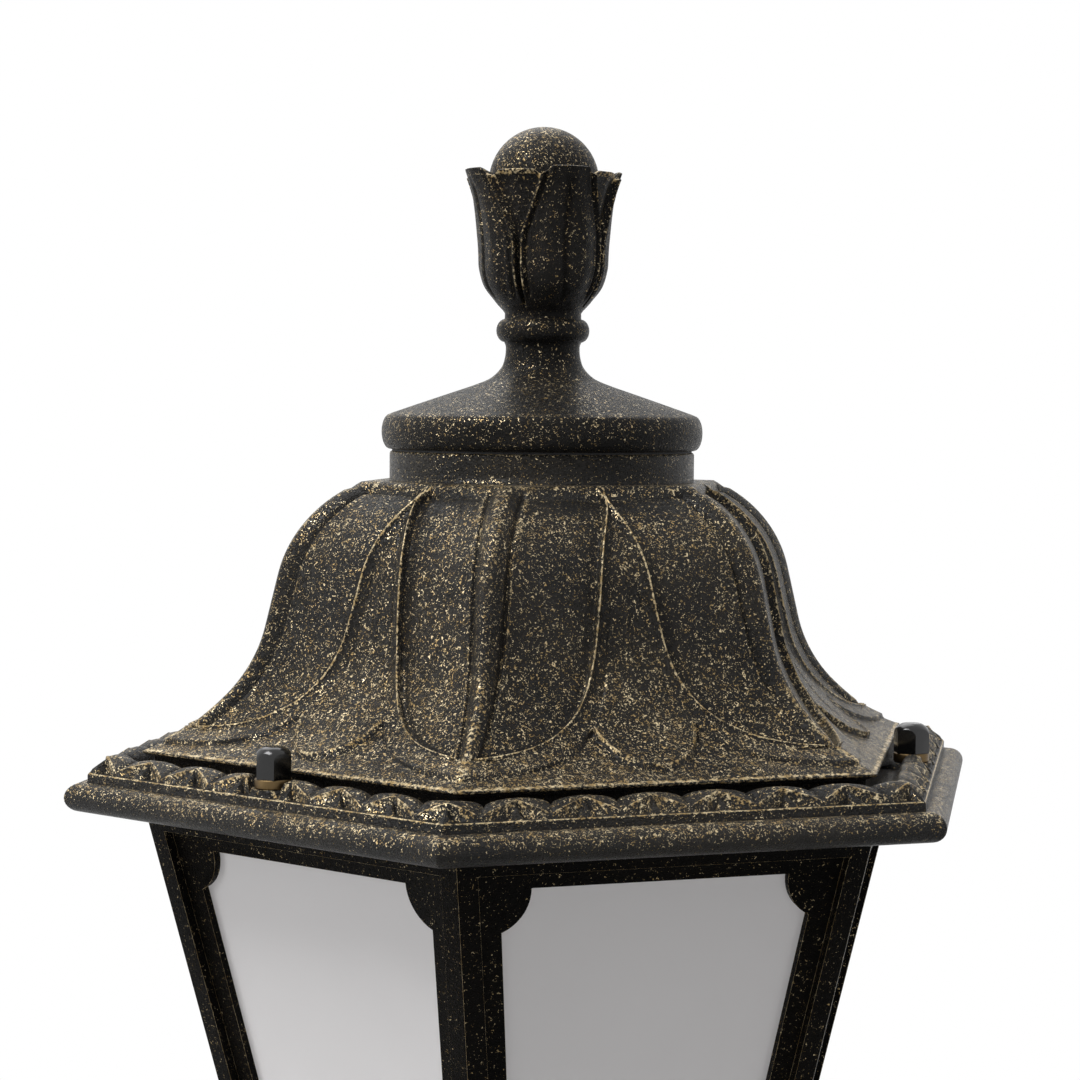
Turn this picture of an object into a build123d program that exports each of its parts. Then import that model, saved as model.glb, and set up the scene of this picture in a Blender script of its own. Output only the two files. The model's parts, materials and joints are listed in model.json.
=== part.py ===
from build123d import *
import os
from math import atan, cos, radians, sin, sqrt, tan

# A six-sided cast street lantern for the top of a post: finial, bell roof, glazed cage and post cup.
# Millimetres, +Z up. The origin is the centre of the post socket's mouth, and a corner faces -Y.

os.makedirs("parts", exist_ok=True)

# Plan of the head
SIDES = 6
TURN = 360 / SIDES
HALF_TURN = TURN / 2
STUD_SIDES = (0, 2, 4)
FIT = 0.05
CLEAR = 0.3

# Heights of the stack, upwards from the socket's mouth
CUP_HEIGHT = 110
CAGE_DROP = 300
EAVES = CUP_HEIGHT + CAGE_DROP

# Roof: bead, plate and dome. Each width is stepped from the plate's, each height from the one below.
PLATE_WIDTH = 165.0
PLATE_TOP = 8.4
PLATE_THICKNESS = 5.0
BEAD_PROUD = 8.2
BEAD_RADIUS = 5.8
BEAD_CENTRE_DROP = 1.0
BEAD_STAND = 1.6
SKIRT_WALL = 2.5
DOME_SETBACK = 23.5
DOME_NECK_RISE = 5.8
DOME_EDGE_PROUD = 4.3
DOME_EDGE_RISE = 2.4
DOME_SWEEP_RUN = 39.0
DOME_SWEEP_RISE = 17.2
DOME_WALL_RUN = 15.7
DOME_WALL_RISE = 72.1
DOME_SHOULDER_RUN = 24.6
DOME_SHOULDER_RISE = 16.4
DOME_SWEEP_RADIUS = 62
DOME_SHOULDER_RADIUS = 50
ROOF_WALL_IN = 4.0
ROOF_WALL_DOWN = 3.0
NECK_WALL = 4.0
COLLAR_STEP = 3.0
COLLAR_RISE = 13.9
COLLAR_WALL = 4.5
COLLAR_WEB = 4.0

# Lip under the collar: the dome's crown stands proud of the dome by a rise
LIP_RISE = 2.0
RISE_SHARE_UP = 0.65
LIP_DEPTH = 1.7

# Petals in relief, one down each corner of the dome, and the tongue between each two.
# Gaps are half widths from a side's middle, drops are from the petals' head.
PETAL_HEAD_DROP = 1.3
PETAL_HEAD_GAP = 1.0
PETAL_NECK_DROP = 18.0
PETAL_NECK_GAP = 8.0
PETAL_WAIST_DROP = 71.0
PETAL_WAIST_GAP = 17.3
PETAL_TURN_DROP = 88.0
PETAL_TURN_GAP = 29.5
PETAL_TOE_DROP = 95.2
PETAL_TOE_GAP = 51.0
PETAL_TIP_DROP = 97.0
RIM_RISE = 1.3
RIM_HEAD_DROP = 13.0
RIM_WAIST_WIDTH = 6.6
RIM_TURN_WIDTH = 10.5
RIM_TOE_WIDTH = 3.4
RIM_TIP_WIDTH = 4.3
TONGUE_HALF_WIDTH = 21.0
TONGUE_TOP = 34.0
TONGUE_DEPTH = 13.7
TONGUE_RIM = 2.6
RIB_RISE = 2.0
RIB_FOOT = 22.0
RIB_FOOT_HALF_WIDTH = 4.0
RIB_TOP_HALF_WIDTH = 6.2

# Leaf border along the plate's edge
LEAVES_PER_SIDE = 7
LEAF_RISE = 6.9
LEAF_LENGTH = 9.0
LEAF_SETBACK = 0.7
LEAF_BACK = 1.2
LEAF_TIP = 0.5
LEAF_VALLEY_SHARE = 0.55
LEAF_ROUND_SHARE = 0.74
LEAF_STEM_HEAD = 1.6
LEAF_STEM_FOOT = 3.0
LEAF_EDGE = 2.2
LEAF_HOLLOW = 2.4
NUT_CLEARING = 1.0

# Cap nuts, their washers and the studs they go on
STUD_INSET = 10.1
STUD_RADIUS = 3.95
STUD_HOLE_RADIUS = 4.6
STUD_BOSS_RADIUS = 6.5
STUD_BOSS_DEPTH = 4.0
PAD_RADIUS = 8.6
PAD_RISE = 2.6
WASHER_RADIUS = 7.25
WASHER_THICKNESS = 3.7
NUT_FLATS = 13.0
NUT_HEIGHT = 12.0
NUT_SHOULDER_DROP = 3.4
NUT_CAP = 3.0
NUT_TURN = -14.0
STUD_END_GAP = 0.5

# Cap and finial. Each height is stepped from the one below.
CAP_GASKET = 0.8
CAP_BULGE = 3.4
CAP_RIM_HEIGHT = 14.4
CAP_SEAT_WIDTH = 5.5
CAP_WALL = 5.5
NECK_RADIUS = 15.4
CONE_HEAD_SPREAD = 5.8
CONE_RISE = 14.6
SWEEP_RISE = 10.0
NECK_RISE = 5.6
RING_PROUD = 4.0
RING_HEIGHT = 9.7
UPPER_NECK_SPREAD = 0.5
UPPER_NECK_RISE = 3.4
TULIP_BELLY_SPREAD = 10.9
TULIP_BELLY_RISE = 17.0
TULIP_WAIST_SPREAD = 0.8
TULIP_WAIST_RISE = 12.3
TULIP_LIP_SPREAD = 6.3
TULIP_LIP_RISE = 28.6
TULIP_LIP_WIDTH = 4.4
TULIP_TROUGH = 6.0
TULIP_PETALS = 4
TULIP_TURN = 31.0
PETAL_THICKNESS = 2.2
PETAL_GAP_DROP = 2.0
PETAL_GAP_HALF_WIDTH = 12.7
PETAL_SEAM = 0.8
VEIN_WIDTH = 1.4
VEIN_DEPTH = 1.0
BALL_RADIUS = 23.0
BALL_SINK = 4.8
ROD_RADIUS = 3.95
ROD_BOSS_RADIUS = 9.0
ROD_BELOW_WEB = 14.0
ROD_IN_FINIAL = 36.0
ROD_WASHER_RADIUS = 12.0
ROD_WASHER_THICKNESS = 1.6
ROD_NUT_FLATS = 13.0
ROD_NUT_HEIGHT = 6.5

# Cage: the sides lean out by CAGE_LEAN for each millimetre of height
CAGE_INSET = 18.4
CAGE_LEAN = 0.233
CAGE_WALL = 7.2
CAGE_FLOOR = 6.0
CAGE_FLANGE_GAP = 1.0
CAGE_FLANGE_THICKNESS = 4.0
GASKET_THICKNESS = 2.0
BAND_WIDTH = 8.0
BAND_DEPTH = 4.0
TOP_BAND_FOOT = 15.5
WINDOW_TOP = 22.7
WINDOW_FOOT = 286.0
WINDOW_HALF_WIDTH = 66.9
WINDOW_TAPER = 0.119
WINDOW_EAR_DROP = 24.2
WINDOW_EAR_OFFSET = 69.0
WINDOW_EAR_RADIUS = 17.2
FLOOR_HOLE_RADIUS = 30.0

# Panes and their clips
PANE_THICKNESS = 3.0
PANE_LAP = 5.0
CLIP_WIDTH = 14.0
CLIP_THICKNESS = 1.2
CLIP_TOP = 5.0
CLIP_SCREW_DROP = 10.6
CLIP_BOSS_RADIUS = 4.6
CLIP_SCREW_RADIUS = 1.95
CLIP_SCREW_HEAD_RADIUS = 3.5
CLIP_SCREW_HEAD = 2.4
CLIP_SCREW_DEPTH = 5.0

# Lamp bracket, holder, lamp and terminal block
BRACKET_LENGTH = 100.0
BRACKET_WIDTH = 24.0
BRACKET_RISE = 13.0
BRACKET_FOOT = 14.0
BRACKET_THICKNESS = 2.0
BRACKET_SCREW_RADIUS = 1.95
BRACKET_SCREW_HEAD_RADIUS = 3.8
BRACKET_SCREW_HEAD = 2.6
HOLDER_RADIUS = 21.0
HOLDER_HEIGHT = 42.0
HOLDER_BORE_RADIUS = 13.7
HOLDER_BORE_DEPTH = 27.0
NIPPLE_RADIUS = 5.0
NIPPLE_BORE_RADIUS = 3.5
NIPPLE_IN_HOLDER = 10.0
NIPPLE_BELOW = 7.0
NIPPLE_NUT_FLATS = 14.0
NIPPLE_NUT_HEIGHT = 4.0
LAMP_CAP_RADIUS = 13.2
LAMP_RADIUS = 30.0
LAMP_GLASS_HEIGHT = 80.0
TERMINAL_LENGTH = 34.0
TERMINAL_DEPTH = 16.0
TERMINAL_HEIGHT = 13.0
TERMINAL_PITCH = 10.0
TERMINAL_OFFSET = 50.0
TERMINAL_WAY_RADIUS = 2.2
TERMINAL_SCREW_RADIUS = 1.8

# Post cup
CUP_PLATE_LAP = 3.0
CUP_PLATE_THICKNESS = 7.0
CUP_TOP_RADIUS = 66.0
CUP_NECK_HEIGHT = 62.0
SOCKET_BORE_RADIUS = 30.5
SOCKET_DEPTH = 72.0
SOCKET_WALL = 7.5
SOCKET_RIM_RADIUS = 43.0
SOCKET_RIM_HEIGHT = 8.0
CUP_WEB = 5.0
CUP_WALL = 7.0
CUP_MOUTH_RADIUS = 56.0
CUP_SCREW_RADIUS = 2.95
CUP_SCREW_OFFSET = 63.0
CUP_SCREW_HEAD_RADIUS = 5.0
CUP_SCREW_HEAD = 4.0
POST_SCREW_HEIGHT = 36.0
POST_SCREW_RADIUS = 3.95
POST_SCREW_BOSS_RADIUS = 9.0
POST_SCREW_BOSS = 5.0
POST_SCREW_STAND = 3.0
POST_SCREW_FLATS = 13.0
POST_SCREW_HEAD = 5.5
GROMMET_RECESS_RADIUS = 18.0
GROMMET_RECESS = 3.0
GROMMET_HOLE_RADIUS = 11.0
GROMMET_FLANGE_RADIUS = 14.0
GROMMET_FLANGE = 2.5
CABLE_RADIUS = 6.0

# Sizes that follow from the ones above
BEAD_WIDTH = PLATE_WIDTH + BEAD_PROUD
SKIRT_INSIDE = PLATE_WIDTH - SKIRT_WALL
DOME_NECK_WIDTH = PLATE_WIDTH - DOME_SETBACK
DOME_NECK_TOP = PLATE_TOP + DOME_NECK_RISE
DOME_EDGE_WIDTH = DOME_NECK_WIDTH + DOME_EDGE_PROUD
DOME_EDGE_TOP = DOME_NECK_TOP + DOME_EDGE_RISE
DOME_FOOT_WIDTH = DOME_EDGE_WIDTH - DOME_SWEEP_RUN
DOME_FOOT_TOP = DOME_EDGE_TOP + DOME_SWEEP_RISE
DOME_HEAD_WIDTH = DOME_FOOT_WIDTH - DOME_WALL_RUN
DOME_HEAD_TOP = DOME_FOOT_TOP + DOME_WALL_RISE
DOME_CROWN_WIDTH = DOME_HEAD_WIDTH - DOME_SHOULDER_RUN
DOME_CROWN_TOP = DOME_HEAD_TOP + DOME_SHOULDER_RISE
LIP_BOTTOM = DOME_CROWN_TOP - LIP_DEPTH
COLLAR_RADIUS = DOME_CROWN_WIDTH - COLLAR_STEP
COLLAR_TOP = DOME_CROWN_TOP + COLLAR_RISE
PETAL_HEAD = DOME_CROWN_TOP - PETAL_HEAD_DROP
LEAF_FOOT_WIDTH = PLATE_WIDTH - LEAF_SETBACK
LEAF_RIDGE_WIDTH = LEAF_FOOT_WIDTH - LEAF_LENGTH
LEAF_TOP = PLATE_TOP + LEAF_RISE
STUD_OFFSET = PLATE_WIDTH - STUD_INSET
PAD_TOP = PLATE_TOP + PAD_RISE
NUT_SHOULDER = NUT_HEIGHT - NUT_SHOULDER_DROP
NUT_THREAD = NUT_HEIGHT - NUT_CAP
STUD_IN_NUT = NUT_THREAD - STUD_END_GAP
CAGE_WIDTH = PLATE_WIDTH - CAGE_INSET
CAGE_FLANGE_WIDTH = SKIRT_INSIDE - CAGE_FLANGE_GAP
PLATE_UNDERSIDE = PLATE_TOP - PLATE_THICKNESS
FLANGE_TOP = PLATE_UNDERSIDE - GASKET_THICKNESS
FLANGE_UNDERSIDE = FLANGE_TOP - CAGE_FLANGE_THICKNESS
LEAN = atan(CAGE_LEAN)
CAGE_FOOT_WIDTH = CAGE_WIDTH - CAGE_LEAN * CAGE_DROP
WALL_ACROSS = CAGE_WALL / cos(LEAN)
CAP_FOOT = COLLAR_TOP + CAP_GASKET
CAP_RIM_RADIUS = COLLAR_RADIUS
CAP_SEAT_RADIUS = CAP_RIM_RADIUS - CAP_SEAT_WIDTH
CONE_HEAD_RADIUS = NECK_RADIUS + CONE_HEAD_SPREAD
CONE_HEAD_TOP = CAP_FOOT + CAP_RIM_HEIGHT + CONE_RISE
NECK_FOOT = CONE_HEAD_TOP + SWEEP_RISE
RING_FOOT = NECK_FOOT + NECK_RISE
RING_RADIUS = NECK_RADIUS + RING_PROUD
RING_TOP = RING_FOOT + RING_HEIGHT
UPPER_NECK_RADIUS = NECK_RADIUS + UPPER_NECK_SPREAD
TULIP_FOOT = RING_TOP + UPPER_NECK_RISE
TULIP_BELLY_RADIUS = UPPER_NECK_RADIUS + TULIP_BELLY_SPREAD
TULIP_BELLY_TOP = TULIP_FOOT + TULIP_BELLY_RISE
TULIP_WAIST_RADIUS = TULIP_BELLY_RADIUS + TULIP_WAIST_SPREAD
TULIP_WAIST_TOP = TULIP_BELLY_TOP + TULIP_WAIST_RISE
TULIP_LIP_RADIUS = TULIP_WAIST_RADIUS + TULIP_LIP_SPREAD
TULIP_LIP_TOP = TULIP_WAIST_TOP + TULIP_LIP_RISE
PETAL_GAP_FOOT = TULIP_WAIST_TOP - PETAL_GAP_DROP
BALL_CENTRE = TULIP_LIP_TOP - BALL_SINK
WEB_UNDERSIDE = COLLAR_TOP - COLLAR_WEB
CUP_WEB_FOOT = SOCKET_DEPTH + GROMMET_RECESS
CUP_WEB_TOP = CUP_WEB_FOOT + CUP_WEB
WASHER_TOP = PAD_TOP + WASHER_THICKNESS
STUD_TOP = WASHER_TOP + STUD_IN_NUT
FLOOR_TOP = CUP_HEIGHT + CAGE_FLOOR
HOLDER_FOOT = FLOOR_TOP + BRACKET_RISE
HOLDER_TOP = HOLDER_FOOT + HOLDER_HEIGHT
FAR = 2 * BEAD_WIDTH


def part(shape, name):
    """Write one piece to its own file."""
    export_step(shape, f"parts/{name}.step")


def around(shape, count=SIDES, start=0.0):
    """Copies of a shape turned evenly about the axis."""
    return [Rot(Z=start + 360 / count * k) * shape for k in range(count)]


def joined(base, shapes):
    """The base with every shape fused to it."""
    return base + list(shapes)


def section(*edges):
    """A face from edges drawn as width against height, stood up in the XZ plane."""
    return Plane.XZ * make_face(edges)


def spun(*edges):
    """A solid of revolution from edges drawn as radius against height above the bead line."""
    return Pos(Z=EAVES) * revolve(section(*edges), Axis.Z)


def six_sided(side):
    """A solid whose half width across each pair of flats follows the given side line."""
    other = mirror(side, about=Plane.YZ)
    foot = Line(side @ 0, other @ 0)
    head = Line(side @ 1, other @ 1)
    slab = extrude(section(*side.edges(), *other.edges(), foot, head), amount=FAR, both=True)
    return slab & (Rot(Z=TURN) * slab) & (Rot(Z=2 * TURN) * slab)


def tube(outer, inner, foot, head):
    """A plain ring between two heights."""
    ring = Circle(outer) - Circle(inner)
    return extrude(Pos(Z=foot) * ring, amount=head - foot)


def rod(radius, foot, head):
    """A plain round bar between two heights."""
    return extrude(Pos(Z=foot) * Circle(radius), amount=head - foot)


def hexagon(flats, foot, head):
    """A hexagonal bar between two heights, from its size across the flats."""
    plan = RegularPolygon(flats / 2, SIDES, major_radius=False)
    return extrude(Pos(Z=foot) * plan, amount=head - foot)


def dome_line(wide, high, start_width):
    """The bell line of the roof moved out and up, from a given width at its foot to the crown."""
    run = (DOME_EDGE_WIDTH - DOME_FOOT_WIDTH) / (DOME_FOOT_TOP - DOME_EDGE_TOP)
    start_top = DOME_EDGE_TOP + high + (DOME_EDGE_WIDTH + wide - start_width) / run
    points = [
        (start_width, start_top),
        (DOME_FOOT_WIDTH + wide, DOME_FOOT_TOP + high),
        (DOME_HEAD_WIDTH + wide, DOME_HEAD_TOP + high),
        (DOME_CROWN_WIDTH + wide, DOME_CROWN_TOP + high),
    ]
    return FilletPolyline(*points, radius=[DOME_SWEEP_RADIUS, DOME_SHOULDER_RADIUS])


def raised_dome(rise):
    """The bell form standing proud of the dome's ground by a rise."""
    line = dome_line(rise, rise * RISE_SHARE_UP, DOME_EDGE_WIDTH + rise)
    foot = Line((DOME_NECK_WIDTH, (line @ 0).Y), line @ 0)
    return Pos(Z=EAVES) * six_sided(Curve() + [foot, line])


def dome_wedge():
    """The sixth of space round the +X side, out to both of its corners."""
    reach = FAR * tan(radians(HALF_TURN))
    plan = make_face(Polyline((0, 0), (FAR, -reach), (FAR, reach), close=True))
    return extrude(Pos(Z=EAVES) * plan, amount=COLLAR_TOP)


def dome_side(rise):
    """All that lies behind the +X side of the bell form when that stands proud by a rise."""
    line = dome_line(rise, rise * RISE_SHARE_UP, DOME_EDGE_WIDTH + rise)
    back = Polyline(line @ 1, (0, (line @ 1).Y), (0, (line @ 0).Y), line @ 0)
    return Pos(Z=EAVES) * extrude(section(*line.edges(), *back.edges()), amount=BEAD_WIDTH, both=True)


def petal_rims():
    """The raised edges of two petals and of the tongue between them, on the +X side."""
    corner = DOME_EDGE_WIDTH * tan(radians(HALF_TURN))
    field = Spline(
        (PETAL_HEAD_GAP, PETAL_HEAD),
        (PETAL_NECK_GAP, PETAL_HEAD - PETAL_NECK_DROP),
        (PETAL_WAIST_GAP, PETAL_HEAD - PETAL_WAIST_DROP),
        (PETAL_TURN_GAP, PETAL_HEAD - PETAL_TURN_DROP),
        (PETAL_TOE_GAP, PETAL_HEAD - PETAL_TOE_DROP),
        (corner, PETAL_HEAD - PETAL_TIP_DROP),
    )
    edge = Spline(
        (0, PETAL_HEAD - RIM_HEAD_DROP),
        (PETAL_WAIST_GAP - RIM_WAIST_WIDTH, PETAL_HEAD - PETAL_WAIST_DROP),
        (PETAL_TURN_GAP - RIM_TURN_WIDTH, PETAL_HEAD - PETAL_TURN_DROP),
        (PETAL_TOE_GAP - RIM_TURN_WIDTH, PETAL_HEAD - PETAL_TOE_DROP - RIM_TOE_WIDTH),
        (corner, PETAL_HEAD - PETAL_TIP_DROP - RIM_TIP_WIDTH),
    )
    right = [field, Line(field @ 1, edge @ 1), edge]
    left = [mirror(line, about=Plane.YZ) for line in right]
    head = Line(field @ 0, left[0] @ 0)
    rims = make_face([head] + [e for line in right + left for e in line.edges()])
    inside = Ellipse(TONGUE_HALF_WIDTH - TONGUE_RIM, TONGUE_DEPTH - TONGUE_RIM)
    below = Pos(Y=-TONGUE_DEPTH / 2) * Rectangle(2 * TONGUE_HALF_WIDTH, TONGUE_DEPTH)
    tongue = Pos(Y=TONGUE_TOP) * ((Ellipse(TONGUE_HALF_WIDTH, TONGUE_DEPTH) - inside) & below)
    drawn = Plane.YZ.offset(COLLAR_RADIUS - COLLAR_WALL) * (rims + tongue)
    return Pos(Z=EAVES) * extrude(drawn, amount=FAR) & dome_side(RIM_RISE) & dome_wedge()


def corner_ribs():
    """The rib down each corner of the dome, the middle of a petal."""
    outline = Polyline(
        (-RIB_FOOT_HALF_WIDTH, RIB_FOOT),
        (RIB_FOOT_HALF_WIDTH, RIB_FOOT),
        (RIB_TOP_HALF_WIDTH, LIP_BOTTOM + 1),
        (-RIB_TOP_HALF_WIDTH, LIP_BOTTOM + 1),
        close=True,
    )
    drawn = Plane.YZ.offset(COLLAR_RADIUS - COLLAR_WALL) * make_face(outline)
    rib = Pos(Z=EAVES) * extrude(drawn, amount=FAR)
    proud = raised_dome(RIB_RISE)
    return [proud & turned for turned in around(rib, start=HALF_TURN)]


def leaf_border():
    """The row of leaves leaning back from the plate's edge, with a hollow on each side of a stem."""
    back = LEAF_RIDGE_WIDTH - LEAF_BACK
    front = Polyline(
        (LEAF_FOOT_WIDTH, PLATE_TOP - 1), (LEAF_FOOT_WIDTH, PLATE_TOP), (LEAF_RIDGE_WIDTH, LEAF_TOP)
    )
    behind = Line((back, PLATE_TOP - 2), (back, LEAF_TOP + 1))
    ring = Pos(Z=EAVES) * (six_sided(front) - six_sided(Curve() + behind))
    pitch = 2 * LEAF_RIDGE_WIDTH * tan(radians(HALF_TURN)) / LEAVES_PER_SIDE
    valley = LEAF_FOOT_WIDTH - LEAF_LENGTH * LEAF_VALLEY_SHARE
    bend = valley - (valley - LEAF_RIDGE_WIDTH) * LEAF_ROUND_SHARE
    right = ThreePointArc((valley, 0), (bend, pitch / 4), (LEAF_RIDGE_WIDTH, pitch / 2 - LEAF_TIP))
    left = mirror(right, about=Plane.XZ)
    beyond = Polyline(right @ 1, (back - 1, (right @ 1).Y), (back - 1, (left @ 1).Y), left @ 1)
    notch = extrude(Pos(Z=EAVES + PLATE_TOP) * make_face([right, left, *beyond.edges()]), amount=2 * LEAF_RISE)
    start = (LEAF_FOOT_WIDTH, 0, EAVES + PLATE_TOP)
    slope = Plane(origin=start, x_dir=(0, 1, 0), z_dir=(LEAF_RISE, 0, LEAF_LENGTH))
    length = sqrt(LEAF_RISE**2 + LEAF_LENGTH**2)
    reach = pitch / 2 - LEAF_EDGE
    outline = Polyline(
        (LEAF_STEM_FOOT, length * 0.10),
        (reach, length * 0.10),
        (reach, length * 0.40),
        (reach * 0.62, length * 0.70),
        (LEAF_STEM_HEAD, length * 0.84),
        close=True,
    )
    hollow = extrude(slope * make_face(outline), amount=-LEAF_HOLLOW)
    other_hollow = mirror(hollow, about=Plane.XZ)
    clearing = rod(PAD_RADIUS + NUT_CLEARING, EAVES + PLATE_TOP, EAVES + 2 * LEAF_TOP)
    cuts = around(Pos(X=STUD_OFFSET) * clearing, len(STUD_SIDES))
    for k in range(LEAVES_PER_SIDE):
        leaf = pitch * (k - LEAVES_PER_SIDE / 2)
        cuts += around(Pos(Y=leaf + pitch / 2) * notch)
        cuts += around(Pos(Y=leaf) * hollow)
        cuts += around(Pos(Y=leaf + pitch) * other_hollow)
    return ring - cuts


def roof():
    """Collar, bell dome, leaf border, plate and bead: one casting, open below."""
    bead_in = PLATE_WIDTH + BEAD_STAND
    bead_foot = -BEAD_CENTRE_DROP - BEAD_RADIUS
    bead_head = BEAD_RADIUS - BEAD_CENTRE_DROP
    ground = dome_line(0, 0, DOME_EDGE_WIDTH)
    outside = Curve() + [
        Line((SKIRT_INSIDE, bead_foot), (bead_in, bead_foot)),
        ThreePointArc((bead_in, bead_foot), (BEAD_WIDTH, -BEAD_CENTRE_DROP), (bead_in, bead_head)),
        Polyline(
            (bead_in, bead_head),
            (PLATE_WIDTH, bead_head),
            (PLATE_WIDTH, PLATE_TOP),
            (DOME_NECK_WIDTH, PLATE_TOP),
            (DOME_NECK_WIDTH, DOME_NECK_TOP),
            (DOME_EDGE_WIDTH, DOME_EDGE_TOP),
        ),
        ground,
    ]
    body = joined(Pos(Z=EAVES) * six_sided(outside), around(petal_rims()))
    body = joined(body, corner_ribs()) + leaf_border()
    proud = raised_dome(LIP_RISE)
    lip = Pos(Z=EAVES + LIP_BOTTOM) * Cylinder(FAR, LIP_BOTTOM, align=(Align.CENTER, Align.CENTER, Align.MIN))
    body = body + (proud & lip) + rod(COLLAR_RADIUS, EAVES + DOME_HEAD_TOP, EAVES + COLLAR_TOP)
    pad = Pos(X=STUD_OFFSET) * rod(PAD_RADIUS, EAVES + PLATE_UNDERSIDE, EAVES + PAD_TOP)
    body = joined(body, around(pad, len(STUD_SIDES)))
    hollow_line = dome_line(-ROOF_WALL_IN, -ROOF_WALL_DOWN, DOME_NECK_WIDTH - NECK_WALL)
    hollow = Curve() + [
        Polyline(
            (SKIRT_INSIDE, bead_foot - 1),
            (SKIRT_INSIDE, PLATE_UNDERSIDE),
            (DOME_NECK_WIDTH - NECK_WALL, PLATE_UNDERSIDE),
            hollow_line @ 0,
        ),
        hollow_line,
    ]
    stud_hole = Pos(X=STUD_OFFSET) * rod(STUD_HOLE_RADIUS, EAVES, EAVES + DOME_FOOT_TOP)
    cuts = around(stud_hole, len(STUD_SIDES))
    cuts.append(Pos(Z=EAVES) * six_sided(hollow))
    cuts.append(rod(COLLAR_RADIUS - COLLAR_WALL, EAVES + DOME_HEAD_TOP, EAVES + WEB_UNDERSIDE))
    cuts.append(rod(ROD_RADIUS + CLEAR, EAVES, EAVES + COLLAR_TOP))
    return body - cuts


def tulip_line(inset):
    """The tulip's outside from its foot to its lip, moved in by an inset."""
    return Spline(
        (UPPER_NECK_RADIUS + 1 - inset, TULIP_FOOT),
        (TULIP_BELLY_RADIUS - inset, TULIP_BELLY_TOP),
        (TULIP_WAIST_RADIUS - inset, TULIP_WAIST_TOP),
        (TULIP_LIP_RADIUS - inset, TULIP_LIP_TOP),
        tangents=[(1, 0.5), (0.3, 1)],
    )


def tulip(inset):
    """Solid cup of the tulip with a trough round the ball."""
    line = tulip_line(inset)
    lip_in = TULIP_LIP_RADIUS - TULIP_LIP_WIDTH
    return spun(
        line,
        Polyline(
            line @ 1,
            (lip_in, TULIP_LIP_TOP),
            (BALL_RADIUS, TULIP_LIP_TOP - TULIP_TROUGH),
            (0, TULIP_LIP_TOP - TULIP_TROUGH),
            (0, TULIP_FOOT),
            line @ 0,
        ),
    )


def petal_gaps():
    """The spaces between the tulip's outer petals, each with the seam below it."""
    side = Spline(
        (PETAL_SEAM, PETAL_GAP_FOOT),
        (PETAL_GAP_HALF_WIDTH * 0.55, (PETAL_GAP_FOOT + TULIP_LIP_TOP) / 2 + 2),
        (PETAL_GAP_HALF_WIDTH, TULIP_LIP_TOP + 1),
        tangents=[(0.1, 1), (0.6, 1)],
    )
    other = mirror(side, about=Plane.YZ)
    seam_foot = Polyline(
        other @ 0,
        (-PETAL_SEAM, TULIP_FOOT + 2),
        (PETAL_SEAM, TULIP_FOOT + 2),
        side @ 0,
    )
    outline = make_face([side, Line(side @ 1, other @ 1), other, *seam_foot.edges()])
    gap = Pos(Z=EAVES) * extrude(Plane.YZ * outline, amount=2 * TULIP_LIP_RADIUS)
    return around(gap, TULIP_PETALS, TULIP_TURN + 180 / TULIP_PETALS)


def petal_veins():
    """A groove down the middle of each outer petal."""
    reach = TULIP_LIP_TOP - TULIP_FOOT
    outline = Pos(Y=TULIP_FOOT + reach / 2) * Rectangle(VEIN_WIDTH, reach - 2 * VEIN_WIDTH)
    slot = Pos(Z=EAVES) * extrude(Plane.YZ * outline, amount=2 * TULIP_LIP_RADIUS)
    return around(slot, TULIP_PETALS, TULIP_TURN)


def finial_cap():
    """Ball, tulip, neck, ring and round cap: one casting, hollow under the cap."""
    rim_top = CAP_FOOT + CAP_RIM_HEIGHT
    rim = ThreePointArc(
        (CAP_RIM_RADIUS, CAP_FOOT),
        (CAP_RIM_RADIUS + CAP_BULGE, (CAP_FOOT + rim_top) / 2),
        (CAP_RIM_RADIUS, rim_top),
    )
    cone = Line(rim @ 1, (CONE_HEAD_RADIUS, CONE_HEAD_TOP))
    sweep = Spline(cone @ 1, (NECK_RADIUS, NECK_FOOT), tangents=[(-1, 0.4), (0, 1)])
    bulge = ThreePointArc(
        (NECK_RADIUS, RING_FOOT),
        (RING_RADIUS, (RING_FOOT + RING_TOP) / 2),
        (UPPER_NECK_RADIUS, RING_TOP),
    )
    stem_top = TULIP_FOOT + 1
    stem = spun(
        rim,
        cone,
        sweep,
        Line(sweep @ 1, bulge @ 0),
        bulge,
        Polyline(bulge @ 1, (UPPER_NECK_RADIUS, stem_top), (0, stem_top), (0, CAP_FOOT), rim @ 0),
    )
    ground = tulip(PETAL_THICKNESS)
    bloom = tulip(0)
    bloom = bloom - [gap - ground for gap in petal_gaps()]
    bloom = bloom - [vein - tulip(VEIN_DEPTH) for vein in petal_veins()]
    ball = Pos(Z=EAVES + BALL_CENTRE) * Sphere(BALL_RADIUS)
    hollow_rim = rim_top - CAP_WALL
    hollow = spun(
        Polyline(
            (0, CAP_FOOT),
            (CAP_SEAT_RADIUS, CAP_FOOT),
            (CAP_SEAT_RADIUS, hollow_rim),
            (CONE_HEAD_RADIUS, CONE_HEAD_TOP - CAP_WALL),
            (0, CONE_HEAD_TOP - CAP_WALL),
            close=True,
        )
    )
    boss = rod(ROD_BOSS_RADIUS, EAVES + CAP_FOOT + CAP_WALL / 2, EAVES + CONE_HEAD_TOP)
    thread = rod(ROD_RADIUS + FIT, EAVES, EAVES + CAP_FOOT + ROD_IN_FINIAL + 1)
    return stem + bloom + ball - hollow + boss - thread


def cage_side(depth):
    """Plane on a leaning side at a depth below its outer face, +X side, with Y up the slope."""
    start = Plane(origin=(CAGE_WIDTH, 0, EAVES), x_dir=(0, 1, 0), z_dir=(cos(LEAN), 0, -sin(LEAN)))
    return start.offset(-depth)


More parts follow.
